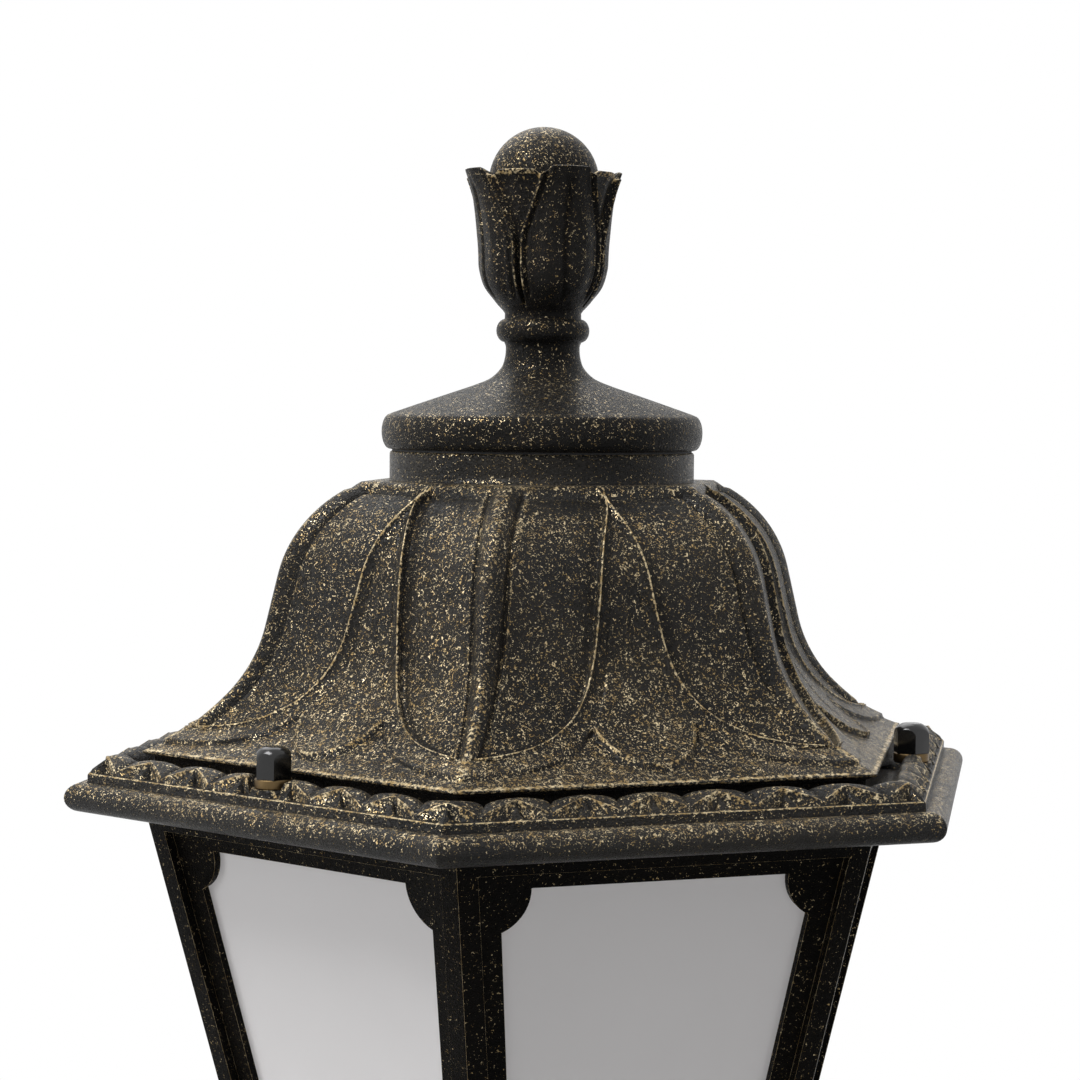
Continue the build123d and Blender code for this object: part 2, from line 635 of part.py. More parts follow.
def corner_half_width(drop):
    """Half the width of a side's outer face at a distance down its slope."""
    return (CAGE_WIDTH - CAGE_LEAN * cos(LEAN) * drop) * tan(radians(HALF_TURN))


def window_outline(lap):
    """Opening of one window, made larger all round by a lap; only the true opening has round ears."""
    top = WINDOW_TOP - lap
    foot = WINDOW_FOOT + lap
    head_half = WINDOW_HALF_WIDTH - WINDOW_TAPER * top + lap
    foot_half = WINDOW_HALF_WIDTH - WINDOW_TAPER * foot + lap
    return make_face(
        Polyline((-head_half, -top), (head_half, -top), (foot_half, -foot), (-foot_half, -foot), close=True)
    )


def frame_recess():
    """The sunk field inside the raised corner bands, cut into one side."""
    foot = WINDOW_FOOT + BAND_WIDTH
    head_half = corner_half_width(TOP_BAND_FOOT) - BAND_WIDTH
    foot_half = corner_half_width(foot) - BAND_WIDTH
    outline = Polyline(
        (-head_half, -TOP_BAND_FOOT),
        (head_half, -TOP_BAND_FOOT),
        (foot_half, -foot),
        (-foot_half, -foot),
        close=True,
    )
    return extrude(cage_side(BAND_DEPTH) * make_face(outline), amount=2 * BAND_DEPTH)


def window_cut():
    """The window of one side, right through the wall, with its two round ears left standing."""
    ear = Pos(WINDOW_EAR_OFFSET, -WINDOW_EAR_DROP) * Circle(WINDOW_EAR_RADIUS)
    outline = window_outline(0) - ear - mirror(ear, about=Plane.YZ)
    return extrude(cage_side(2 * CAGE_WALL) * outline, amount=3 * CAGE_WALL)


def clip_boss():
    """The pad that one pane clip is screwed to, level with the pane's back."""
    pad = Pos(Y=-CLIP_SCREW_DROP) * Circle(CLIP_BOSS_RADIUS)
    return extrude(cage_side(CAGE_WALL + PANE_THICKNESS) * pad, amount=PANE_THICKNESS + 1)


def clip_screw_hole():
    """The tapped hole in a clip's pad."""
    hole = Pos(Y=-CLIP_SCREW_DROP) * Circle(CLIP_SCREW_RADIUS + FIT)
    return extrude(cage_side(CAGE_WALL + PANE_THICKNESS) * hole, amount=CLIP_SCREW_DEPTH + 1)


def cage():
    """Six corner bars, top rail, flange and floor: one casting with a window in each side."""
    foot = -CAGE_DROP
    outer_side = Line((CAGE_FOOT_WIDTH, foot), (CAGE_WIDTH + CAGE_LEAN * FLANGE_TOP, FLANGE_TOP))
    body = Pos(Z=EAVES) * six_sided(Curve() + outer_side)
    flange_side = Line((CAGE_FLANGE_WIDTH, FLANGE_UNDERSIDE), (CAGE_FLANGE_WIDTH, FLANGE_TOP))
    body = body + Pos(Z=EAVES) * six_sided(Curve() + flange_side)
    for k in STUD_SIDES:
        place = Rot(Z=TURN * k) * Pos(X=STUD_OFFSET)
        boss_foot = EAVES + FLANGE_UNDERSIDE - STUD_BOSS_DEPTH
        body = body + place * rod(STUD_BOSS_RADIUS, boss_foot, EAVES + FLANGE_TOP)
    room_foot = foot + CAGE_FLOOR
    room_side = Line(
        (CAGE_WIDTH - WALL_ACROSS + CAGE_LEAN * room_foot, room_foot),
        (CAGE_WIDTH - WALL_ACROSS + CAGE_LEAN * PLATE_TOP, PLATE_TOP),
    )
    body = body - Pos(Z=EAVES) * six_sided(Curve() + room_side)
    body = joined(body, around(clip_boss()))
    body = body - around(frame_recess()) - around(window_cut()) - around(clip_screw_hole())
    for k in STUD_SIDES:
        place = Rot(Z=TURN * k) * Pos(X=STUD_OFFSET)
        body = body - place * rod(STUD_RADIUS + FIT, EAVES - 2 * CAGE_WALL - STUD_BOSS_DEPTH, EAVES + PLATE_TOP)
    body = body - rod(FLOOR_HOLE_RADIUS, CUP_HEIGHT, FLOOR_TOP)
    for spot in bracket_screw_spots():
        body = body - spot * rod(BRACKET_SCREW_RADIUS + FIT, CUP_HEIGHT, FLOOR_TOP)
    return body - around(cup_screw_place() * rod(CUP_SCREW_RADIUS + CLEAR, CUP_HEIGHT, FLOOR_TOP), 3, HALF_TURN)


def pane():
    """One flat opal pane, +X side, standing on the floor behind the window."""
    outline = window_outline(PANE_LAP)
    return extrude(cage_side(CAGE_WALL + PANE_THICKNESS) * outline, amount=PANE_THICKNESS)


def pane_clip():
    """A flat strip screwed to its pad, its lower end on the pane's back."""
    foot = WINDOW_TOP
    outline = Pos(Y=-(CLIP_TOP + foot) / 2) * Rectangle(CLIP_WIDTH, foot - CLIP_TOP)
    outline = outline - Pos(Y=-CLIP_SCREW_DROP) * Circle(CLIP_SCREW_RADIUS + CLEAR)
    return extrude(cage_side(CAGE_WALL + PANE_THICKNESS + CLIP_THICKNESS) * outline, amount=CLIP_THICKNESS)


def clip_screw():
    """Cheese-head screw of one pane clip."""
    under_head = cage_side(CAGE_WALL + PANE_THICKNESS + CLIP_THICKNESS)
    spot = Pos(Y=-CLIP_SCREW_DROP)
    head = extrude(under_head * (spot * Circle(CLIP_SCREW_HEAD_RADIUS)), amount=-CLIP_SCREW_HEAD)
    length = CLIP_THICKNESS + CLIP_SCREW_DEPTH
    return head + extrude(under_head * (spot * Circle(CLIP_SCREW_RADIUS)), amount=length)


def roof_gasket():
    """Flat six-sided ring between the plate and the cage's flange, with three stud holes."""
    inner = CAGE_WIDTH
    outer_side = Line((CAGE_FLANGE_WIDTH, FLANGE_TOP), (CAGE_FLANGE_WIDTH, PLATE_UNDERSIDE))
    inner_side = Line((inner, FLANGE_TOP), (inner, PLATE_UNDERSIDE))
    ring = Pos(Z=EAVES) * (six_sided(Curve() + outer_side) - six_sided(Curve() + inner_side))
    hole = Pos(X=STUD_OFFSET) * rod(STUD_HOLE_RADIUS, EAVES + FLANGE_TOP, EAVES + PLATE_UNDERSIDE)
    return ring - around(hole, len(STUD_SIDES))


def stud():
    """One roof stud, +X side."""
    return Pos(X=STUD_OFFSET) * rod(STUD_RADIUS, EAVES + FLANGE_UNDERSIDE - STUD_BOSS_DEPTH, EAVES + STUD_TOP)


def nut_washer():
    """Ferrule washer of one cap nut, +X side."""
    return Pos(X=STUD_OFFSET) * tube(WASHER_RADIUS, STUD_HOLE_RADIUS, EAVES + PAD_TOP, EAVES + WASHER_TOP)


def cap_nut():
    """Hexagon cap nut with a rounded crown, +X side."""
    foot = EAVES + WASHER_TOP
    body = hexagon(NUT_FLATS, foot, foot + NUT_HEIGHT)
    corner = NUT_FLATS / sqrt(3)
    crown = ThreePointArc((corner, NUT_SHOULDER - 1), (corner * 0.72, NUT_HEIGHT - 0.9), (0, NUT_HEIGHT))
    around_nut = Polyline(crown @ 1, (0, 0), (corner, 0), crown @ 0)
    form = Pos(Z=foot) * revolve(section(crown, *around_nut.edges()), Axis.Z)
    bore = rod(STUD_RADIUS + FIT, foot, foot + NUT_THREAD)
    return Pos(X=STUD_OFFSET) * Rot(Z=NUT_TURN) * ((body & form) - bore)


def finial_rod():
    """Threaded rod from the finial down through the collar's web."""
    return rod(ROD_RADIUS, EAVES + WEB_UNDERSIDE - ROD_BELOW_WEB, EAVES + CAP_FOOT + ROD_IN_FINIAL)


def rod_nut():
    """Nut on the finial rod, under its washer."""
    head = EAVES + WEB_UNDERSIDE - ROD_WASHER_THICKNESS
    return hexagon(ROD_NUT_FLATS, head - ROD_NUT_HEIGHT, head) - rod(ROD_RADIUS + FIT, EAVES, head)


def bracket_screw_spots():
    """Places of the two screws in the bracket's feet."""
    offset = (BRACKET_LENGTH - BRACKET_FOOT) / 2
    return [Pos(X=offset), Pos(X=-offset)]


def lamp_bracket():
    """Bent strap over the floor's hole, with the holder's nipple through its middle."""
    foot_in = BRACKET_LENGTH / 2 - BRACKET_FOOT
    lift = BRACKET_RISE - BRACKET_THICKNESS
    line = Polyline(
        (-BRACKET_LENGTH / 2, 0),
        (-foot_in, 0),
        (-foot_in + lift / 2, lift),
        (foot_in - lift / 2, lift),
        (foot_in, 0),
        (BRACKET_LENGTH / 2, 0),
    )
    upper = Polyline(*[(v.X, v.Y + BRACKET_THICKNESS) for v in line.vertices()])
    strip = section(*line.edges(), *upper.edges(), Line(line @ 0, upper @ 0), Line(line @ 1, upper @ 1))
    strap = Pos(Z=FLOOR_TOP) * extrude(strip, amount=BRACKET_WIDTH / 2, both=True)
    strap = strap - rod(NIPPLE_RADIUS + CLEAR, FLOOR_TOP, HOLDER_FOOT)
    for spot in bracket_screw_spots():
        strap = strap - spot * rod(BRACKET_SCREW_RADIUS + CLEAR, FLOOR_TOP, HOLDER_FOOT)
    return strap


def bracket_screws():
    """The two pan-head screws of the bracket."""
    head_foot = FLOOR_TOP + BRACKET_THICKNESS
    one = rod(BRACKET_SCREW_RADIUS, CUP_HEIGHT, head_foot) + rod(
        BRACKET_SCREW_HEAD_RADIUS, head_foot, head_foot + BRACKET_SCREW_HEAD
    )
    return [spot * one for spot in bracket_screw_spots()]


def lampholder():
    """Screw lampholder with a stepped skirt and a threaded foot for its nipple."""
    body = rod(HOLDER_RADIUS, HOLDER_FOOT, HOLDER_TOP)
    skirt = HOLDER_HEIGHT * 0.45
    body = body - tube(2 * HOLDER_RADIUS, HOLDER_RADIUS - 2.5, HOLDER_FOOT + skirt, HOLDER_TOP - 6)
    body = body - rod(HOLDER_BORE_RADIUS, HOLDER_TOP - HOLDER_BORE_DEPTH, HOLDER_TOP)
    return body - rod(NIPPLE_RADIUS + FIT, HOLDER_FOOT, HOLDER_FOOT + NIPPLE_IN_HOLDER)


def lamp():
    """Frosted lamp: screw cap and pear-shaped glass, one solid."""
    foot = HOLDER_TOP - HOLDER_BORE_DEPTH + 1
    glass_top = HOLDER_TOP + LAMP_GLASS_HEIGHT
    neck_top = HOLDER_TOP + 6
    belly_top = glass_top - LAMP_RADIUS
    pear = Spline(
        (LAMP_CAP_RADIUS, neck_top),
        (LAMP_RADIUS, belly_top),
        (0, glass_top),
        tangents=[(0.2, 1), (-1, 0)],
    )
    cap = Polyline(pear @ 1, (0, foot), (LAMP_CAP_RADIUS * 0.4, foot), (LAMP_CAP_RADIUS, foot + 6), pear @ 0)
    return revolve(section(pear, *cap.edges()), Axis.Z)


def terminal_block():
    """Three-way block on the floor with a wire way and a screw well for each."""
    block = Pos(0, TERMINAL_OFFSET, FLOOR_TOP + TERMINAL_HEIGHT / 2) * Box(
        TERMINAL_LENGTH, TERMINAL_DEPTH, TERMINAL_HEIGHT
    )
    for k in (-1, 0, 1):
        place = Pos(k * TERMINAL_PITCH, TERMINAL_OFFSET, FLOOR_TOP + TERMINAL_HEIGHT / 2)
        block = block - place * Rot(X=90) * Cylinder(TERMINAL_WAY_RADIUS, 2 * TERMINAL_DEPTH)
        block = block - place * Cylinder(
            TERMINAL_SCREW_RADIUS + FIT, TERMINAL_HEIGHT, align=(Align.CENTER, Align.CENTER, Align.MIN)
        )
    return block


def terminal_screws():
    """The three clamp screws of the terminal block."""
    foot = FLOOR_TOP + TERMINAL_HEIGHT / 2 + TERMINAL_WAY_RADIUS
    one = rod(TERMINAL_SCREW_RADIUS, foot, FLOOR_TOP + TERMINAL_HEIGHT)
    return [Pos(k * TERMINAL_PITCH, TERMINAL_OFFSET, 0) * one for k in (-1, 0, 1)]


def cup_screw_place():
    """Place of one screw that holds the cup to the cage's floor, towards a corner."""
    return Pos(X=CUP_SCREW_OFFSET)


def post_screw_axis():
    """Plane across one post screw, +X out of the socket's axis, at the screws' height."""
    return Plane(origin=(0, 0, POST_SCREW_HEIGHT), x_dir=(0, 1, 0), z_dir=(1, 0, 0))


def post_cup():
    """Six-sided seat, bowl and post socket: one casting."""
    socket_radius = SOCKET_BORE_RADIUS + SOCKET_WALL
    plate_foot = CUP_HEIGHT - CUP_PLATE_THICKNESS
    bowl = Spline(
        (CUP_TOP_RADIUS, plate_foot), (socket_radius, CUP_NECK_HEIGHT), tangents=[(-0.5, -1), (-0.15, -1)]
    )
    rim_in = SOCKET_RIM_RADIUS - SOCKET_RIM_HEIGHT / 2
    rim = ThreePointArc(
        (rim_in, 0), (SOCKET_RIM_RADIUS, SOCKET_RIM_HEIGHT / 2), (rim_in, SOCKET_RIM_HEIGHT)
    )
    inside = Polyline((0, 0), rim @ 0)
    outside = Polyline(rim @ 1, (socket_radius, SOCKET_RIM_HEIGHT), bowl @ 1)
    top = Polyline(bowl @ 0, (0, plate_foot), (0, 0))
    body = revolve(section(inside, rim, *outside.edges(), bowl, *top.edges()), Axis.Z)
    seat_width = CAGE_FOOT_WIDTH + CUP_PLATE_LAP
    seat = Line((seat_width, plate_foot), (seat_width, CUP_HEIGHT))
    body = body + six_sided(Curve() + seat)
    boss = extrude(post_screw_axis() * Circle(POST_SCREW_BOSS_RADIUS), amount=socket_radius + POST_SCREW_BOSS)
    body = joined(body, around(boss, 3, HALF_TURN))
    bowl_in = Polyline(
        (0, CUP_WEB_TOP),
        (SOCKET_BORE_RADIUS, CUP_WEB_TOP),
        (CUP_MOUTH_RADIUS, plate_foot),
        (CUP_MOUTH_RADIUS, CUP_HEIGHT),
        (0, CUP_HEIGHT),
        close=True,
    )
    body = body - revolve(section(*bowl_in.edges()), Axis.Z)
    body = body - rod(SOCKET_BORE_RADIUS, 0, SOCKET_DEPTH)
    body = body - rod(GROMMET_RECESS_RADIUS, SOCKET_DEPTH, CUP_WEB_FOOT)
    body = body - rod(GROMMET_HOLE_RADIUS, CUP_WEB_FOOT, CUP_WEB_TOP)
    hole = extrude(post_screw_axis() * Circle(POST_SCREW_RADIUS + FIT), amount=2 * socket_radius)
    body = body - around(hole, 3, HALF_TURN)
    tapped = cup_screw_place() * rod(CUP_SCREW_RADIUS + FIT, plate_foot - CUP_WALL, CUP_HEIGHT)
    return body - around(tapped, 3, HALF_TURN)


def cup_screws():
    """Screws down through the cage's floor into the cup's seat."""
    foot = CUP_HEIGHT - CUP_PLATE_THICKNESS
    one = rod(CUP_SCREW_RADIUS, foot, FLOOR_TOP) + rod(
        CUP_SCREW_HEAD_RADIUS, FLOOR_TOP, FLOOR_TOP + CUP_SCREW_HEAD
    )
    return around(cup_screw_place() * one, 3, HALF_TURN)


def post_screw():
    """Hexagon-head set screw that grips the post, tip just clear of the bore."""
    tip = SOCKET_BORE_RADIUS + CLEAR
    head_foot = SOCKET_BORE_RADIUS + SOCKET_WALL + POST_SCREW_BOSS + POST_SCREW_STAND
    shank = extrude(post_screw_axis().offset(tip) * Circle(POST_SCREW_RADIUS), amount=head_foot - tip)
    plan = RegularPolygon(POST_SCREW_FLATS / 2, SIDES, major_radius=False)
    return shank + extrude(post_screw_axis().offset(head_foot) * plan, amount=POST_SCREW_HEAD)


def cable_grommet():
    """Rubber grommet in the web's hole, gripping both faces of the web."""
    foot = CUP_WEB_FOOT - GROMMET_FLANGE
    ring = tube(GROMMET_FLANGE_RADIUS, CABLE_RADIUS, foot, CUP_WEB_TOP + GROMMET_FLANGE)
    return ring - tube(2 * GROMMET_FLANGE_RADIUS, GROMMET_HOLE_RADIUS, CUP_WEB_FOOT, CUP_WEB_TOP)


part(roof(), "roof")
part(finial_cap(), "finial_cap")
part(tube(CAP_RIM_RADIUS - 1, CAP_SEAT_RADIUS, EAVES + COLLAR_TOP, EAVES + CAP_FOOT), "cap_gasket")
part(finial_rod(), "finial_rod")
rod_washer_foot = EAVES + WEB_UNDERSIDE - ROD_WASHER_THICKNESS
part(tube(ROD_WASHER_RADIUS, ROD_RADIUS + CLEAR, rod_washer_foot, EAVES + WEB_UNDERSIDE), "rod_washer")
part(rod_nut(), "rod_nut")
part(cage(), "cage")
part(roof_gasket(), "roof_gasket")
for number, side in enumerate(STUD_SIDES, 1):
    turned = Rot(Z=TURN * side)
    part(turned * stud(), f"roof_stud_{number}")
    part(turned * nut_washer(), f"nut_washer_{number}")
    part(turned * cap_nut(), f"cap_nut_{number}")
for number in range(SIDES):
    turned = Rot(Z=TURN * number)
    part(turned * pane(), f"pane_{number + 1}")
    part(turned * pane_clip(), f"pane_clip_{number + 1}")
part(Compound(around(clip_screw())), "pane_clip_screws")
part(lamp_bracket(), "lamp_bracket")
part(Compound(bracket_screws()), "bracket_screws")
part(lampholder(), "lampholder")
nipple_foot = HOLDER_FOOT - BRACKET_THICKNESS - NIPPLE_BELOW
part(tube(NIPPLE_RADIUS, NIPPLE_BORE_RADIUS, nipple_foot, HOLDER_FOOT + NIPPLE_IN_HOLDER), "lampholder_nipple")
nipple_nut_top = HOLDER_FOOT - BRACKET_THICKNESS
nipple_nut = hexagon(NIPPLE_NUT_FLATS, nipple_nut_top - NIPPLE_NUT_HEIGHT, nipple_nut_top)
part(nipple_nut - rod(NIPPLE_RADIUS + FIT, FLOOR_TOP, nipple_nut_top), "nipple_nut")
part(lamp(), "lamp")
part(terminal_block(), "terminal_block")
part(Compound(terminal_screws()), "terminal_screws")
part(post_cup(), "post_cup")
part(Compound(cup_screws()), "cup_screws")
for number, screw in enumerate(around(post_screw(), 3, HALF_TURN), 1):
    part(screw, f"post_screw_{number}")
part(cable_grommet(), "cable_grommet")
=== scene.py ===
import json
import math

import bmesh
import bpy
import numpy as np
from mathutils import Matrix, Vector


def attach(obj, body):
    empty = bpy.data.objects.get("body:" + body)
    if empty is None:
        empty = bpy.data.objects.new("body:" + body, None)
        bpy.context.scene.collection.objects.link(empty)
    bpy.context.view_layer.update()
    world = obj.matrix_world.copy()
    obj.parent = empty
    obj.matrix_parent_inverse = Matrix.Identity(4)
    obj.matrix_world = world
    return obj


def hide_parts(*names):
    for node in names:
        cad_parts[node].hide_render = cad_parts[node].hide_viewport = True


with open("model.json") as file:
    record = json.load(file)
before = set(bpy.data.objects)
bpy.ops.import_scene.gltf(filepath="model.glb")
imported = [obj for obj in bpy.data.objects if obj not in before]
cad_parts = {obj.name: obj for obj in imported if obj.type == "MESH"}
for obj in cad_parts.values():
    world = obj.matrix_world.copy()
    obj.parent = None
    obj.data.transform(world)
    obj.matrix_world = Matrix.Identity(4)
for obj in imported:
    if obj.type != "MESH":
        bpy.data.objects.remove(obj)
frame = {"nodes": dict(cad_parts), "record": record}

bl_info = {
    "name": "Street lantern looks",
    "version": (1, 0, 0),
    "blender": (4, 5, 0),
    "location": "3D View > Sidebar > Lantern",
    "description": "Dresses a six-sided street lantern: carved roof, tulip finial, wrinkled casting, studio",
    "category": "Object",
}

MM = 0.001
EAVES = 0.41
SIDES = 6
TAN30 = math.tan(math.radians(30))
STUD_SIDES = (0, 2, 4)


# Small tools for drawing in numbers

def smooth(low, high, value):
    """0 below low, 1 above high, with an even blend between."""
    t = np.clip((value - low) / (high - low), 0.0, 1.0)
    return t * t * (3 - 2 * t)


def hump(value, middle, width):
    """A rounded bump of height 1 round a middle."""
    return np.exp(-(((value - middle) / width) ** 2))


def curve_through(points, steps=12):
    """A smooth line through given points, as an array."""
    given = np.array(points, float)
    padded = np.vstack([2 * given[0] - given[1], given, 2 * given[-1] - given[-2]])
    line = []
    for k in range(len(given) - 1):
        a, b, c, d = padded[k : k + 4]
        for t in np.arange(steps) / steps:
            bend = 2 * b + (c - a) * t + (2 * a - 5 * b + 4 * c - d) * t**2
            line.append(0.5 * (bend + (3 * b - a - 3 * c + d) * t**3))
    line.append(given[-1])
    return np.array(line)


def filleted(points, radii, step=0.4):
    """A line of straight runs with rounded corners, sampled evenly."""
    given = np.array(points, float)
    line = [given[0]]
    for k, radius in enumerate(radii, 1):
        before = given[k - 1] - given[k]
        after = given[k + 1] - given[k]
        before = before / np.linalg.norm(before)
        after = after / np.linalg.norm(after)
        half = math.acos(float(before @ after)) / 2
        middle = (before + after) / np.linalg.norm(before + after)
        centre = given[k] + middle * radius / math.sin(half)
        start = given[k] + before * radius / math.tan(half) - centre
        end = given[k] + after * radius / math.tan(half) - centre
        sweep = math.pi - 2 * half
        count = max(4, int(radius * sweep / step))
        for t in np.linspace(0, 1, count + 1):
            part = math.sin((1 - t) * sweep) * start
            line.append(centre + (part + math.sin(t * sweep) * end) / math.sin(sweep))
    line.append(given[-1])
    line = np.array(line)
    run = np.r_[0, np.cumsum(np.linalg.norm(np.diff(line, axis=0), axis=1))]
    even = np.linspace(0, run[-1], int(run[-1] / step) + 1)
    return np.column_stack([np.interp(even, run, line[:, 0]), np.interp(even, run, line[:, 1])]), even


def away_from(line, x, y):
    """Distance of every grid point from a drawn line."""
    best = np.full(x.shape, 1e9)
    for (x0, y0), (x1, y1) in zip(line[:-1], line[1:]):
        run_x, run_y = x1 - x0, y1 - y0
        length = run_x**2 + run_y**2
        if length < 1e-12:
            continue
        t = np.clip(((x - x0) * run_x + (y - y0) * run_y) / length, 0, 1)
        best = np.minimum(best, np.hypot(x - x0 - t * run_x, y - y0 - t * run_y))
    return best


def within(outline, x, y):
    """True where a grid point lies inside a closed outline."""
    found = np.zeros(x.shape, bool)
    for (x0, y0), (x1, y1) in zip(outline, np.roll(outline, -1, axis=0)):
        crosses = (y0 > y) != (y1 > y)
        with np.errstate(divide="ignore", invalid="ignore"):
            reach = x0 + (y - y0) * (x1 - x0) / (y1 - y0)
        found ^= crosses & (x < reach)
    return found


def turned(width, along, height, side):
    """Points of the +X side turned to one of the six sides, in metres."""
    angle = side * math.tau / SIDES
    x = width * math.cos(angle) - along * math.sin(angle)
    y = width * math.sin(angle) + along * math.cos(angle)
    return np.stack([x * MM, y * MM, height * MM + EAVES], axis=-1)


def level(radius, height, around):
    """Points at a radius and a height round the axis, in metres."""
    high = np.broadcast_to(height * MM + EAVES, around.shape)
    return np.stack([radius * MM * np.cos(around), radius * MM * np.sin(around), high], axis=-1)


def skin(name, points, wear_and_shade=None, flip=False, cap_last=False, cap_first=False):
    """A mesh object from rows of points that run round the axis."""
    rows, columns = points.shape[:2]
    index = np.arange(rows * columns).reshape(rows, columns)
    right = np.roll(index, -1, axis=1)
    quads = np.stack([index[:-1], right[:-1], right[1:], index[1:]], axis=-1).reshape(-1, 4)
    if flip:
        quads = quads[:, ::-1]
    faces = quads.tolist()
    vertices = points.reshape(-1, 3).tolist()
    for wanted, ring, backwards in ((cap_last, index[-1], flip), (cap_first, index[0], not flip)):
        if wanted:
            ring = ring.tolist()
            middle = np.mean([vertices[k] for k in ring], axis=0).tolist()
            vertices.append(middle)
            for a, b in zip(ring, ring[1:] + ring[:1]):
                face = [a, b, len(vertices) - 1]
                faces.append(face[::-1] if backwards else face)
    mesh = bpy.data.meshes.new(name)
    mesh.from_pydata(vertices, [], faces)
    mesh.shade_smooth()
    values = np.zeros(len(vertices), np.float32)
    if wear_and_shade is not None:
        values[: rows * columns] = wear_and_shade.reshape(-1)
    mesh.attributes.new("wear_and_shade", "FLOAT", "POINT").data.foreach_set("value", values)
    piece = bpy.data.objects.new(name, mesh)
    bpy.context.scene.collection.objects.link(piece)
    return piece


def place(piece, body, slot, material, *nodes):
    """Give a piece its body, its material and the CAD nodes it stands for; the slot is not used."""
    piece.data.materials.clear()
    piece.data.materials.append(material)
    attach(piece, body)
    if nodes:
        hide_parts(*nodes)
    return piece


# Materials

FINISHES = {}
PATCH_SCALE = 24.0
TONE_SCALE = 260.0
WEAR_SCALE = 720.0
FINE_GRAIN = 2.1
FLECK_EDGE = 0.035
FLECK_GAIN = 0.16
WEAR_GAIN = 0.42
WORN_FROM, WORN_TO = 0.70, 0.86
METAL_SHARE = 0.35
PEAK_FROM, PEAK_TO = 0.42, 0.66


class Graph:
    """Adds nodes to a new material and links them."""

    def __init__(self, name):
        self.material = FINISHES[name] = bpy.data.materials.new("look_" + name)
        self.material.use_nodes = True
        self.tree = self.material.node_tree
        self.shader = self.tree.nodes["Principled BSDF"]

    def add(self, kind, settings=None, **inputs):
        node = self.tree.nodes.new(kind)
        for key, value in (settings or {}).items():
            setattr(node, key, value)
        for key, value in inputs.items():
            self.feed(node.inputs[key.replace("_", " ")], value)
        return node

    def feed(self, socket, value):
        if isinstance(value, bpy.types.NodeSocket):
            self.tree.links.new(value, socket)
        else:
            socket.default_value = value

    def math(self, operation, *values, clamp=False):
        node = self.tree.nodes.new("ShaderNodeMath")
        node.operation = operation
        node.use_clamp = clamp
        for socket, value in zip(node.inputs, values):
            self.feed(socket, value)
        return node.outputs[0]

    def band(self, value, low, high, to_low=0.0, to_high=1.0):
        node = self.add("ShaderNodeMapRange", {"interpolation_type": "SMOOTHSTEP"})
        for key, given in (
            ("Value", value), ("From Min", low), ("From Max", high), ("To Min", to_low), ("To Max", to_high)
        ):
            self.feed(node.inputs[key], given)
        return node.outputs["Result"]

    def noise(self, vector, scale, detail=2.0, roughness=0.5, distortion=0.0):
        node = self.add(
            "ShaderNodeTexNoise", Vector=vector, Scale=scale, Detail=detail, Roughness=roughness,
            Distortion=distortion,
        )
        return node.outputs["Fac"]

    def mix(self, share, first, second):
        node = self.add("ShaderNodeMix", {"data_type": "RGBA"})
        self.feed(node.inputs["Factor"], share)
        self.feed(node.inputs[6], first)
        self.feed(node.inputs[7], second)
        return node.outputs[2]

    def bump(self, height, distance, strength=1.0):
        node = self.add("ShaderNodeBump", Height=height, Distance=distance, Strength=strength)
        return node.outputs["Normal"]

    def set(self, **inputs):
        for key, value in inputs.items():
            self.feed(self.shader.inputs[key.replace("_", " ")], value)

    @property
    def place(self):
        return self.add("ShaderNodeTexCoord").outputs["Object"]


def casting(name, look):
    """Wrinkled lacquer on a casting, with bronze flecks on its peaks and worn gold edges; more flecks on
    upper surfaces also paint light from above, and fewer flecks where the attribute is below zero paint
    shade.
    """
    g = Graph(name)
    where = g.place
    grain = g.noise(where, look.grain, 1.0, 0.5, 1.3)
    fine = g.noise(where, look.grain * FINE_GRAIN, 1.0, 0.5, 0.6)
    patches = g.noise(where, PATCH_SCALE, 3.0, 0.6)
    normal = g.add("ShaderNodeNewGeometry").outputs["Normal"]
    up = g.add("ShaderNodeSeparateXYZ", Vector=normal).outputs["Z"]
    wear_and_shade = g.add("ShaderNodeAttribute", {"attribute_name": "wear_and_shade"}).outputs["Fac"]
    # More flecks on surfaces that face up: part of the paint, and also painted light from above
    plenty = g.math("MULTIPLY_ADD", up, look.flecks_and_light_up, look.flecks)
    plenty = g.math("MULTIPLY", plenty, g.band(patches, 0.3, 0.7, 0.82, 1.14))
    # Fewer flecks where the attribute is below zero: painted shade in grooves, hollows and undersides
    plenty = g.math("MULTIPLY", plenty, g.band(wear_and_shade, -1.0, 0.0))
    limit = g.math("SUBTRACT", look.fleck_limit, g.math("MULTIPLY", plenty, FLECK_GAIN))
    pick = g.math("MULTIPLY_ADD", g.math("SUBTRACT", fine, 0.5), 0.35, grain)
    flecks = g.band(g.math("SUBTRACT", pick, limit), 0.0, FLECK_EDGE)
    worn = g.math("MULTIPLY_ADD", wear_and_shade, WEAR_GAIN, g.noise(where, WEAR_SCALE, 2.0))
    gold = g.math("MAXIMUM", flecks, g.band(worn, WORN_FROM, WORN_TO), clamp=True)
    tint = g.mix(g.band(patches, 0.35, 0.65), look.dark, look.light)
    tone = g.mix(g.band(g.noise(where, TONE_SCALE), 0.35, 0.65), look.gold, look.pale_gold)
    colour = g.mix(gold, tint, tone)
    peaks = g.band(pick, PEAK_FROM, PEAK_TO)
    g.set(
        Base_Color=colour,
        Metallic=g.math("MULTIPLY", gold, METAL_SHARE),
        Specular_IOR_Level=look.sheen,
        Roughness=g.band(peaks, 0.0, 1.0, look.roughness * 1.25, look.roughness * 0.85),
        Normal=g.bump(peaks, look.grain_depth * MM),
    )
    return g.material


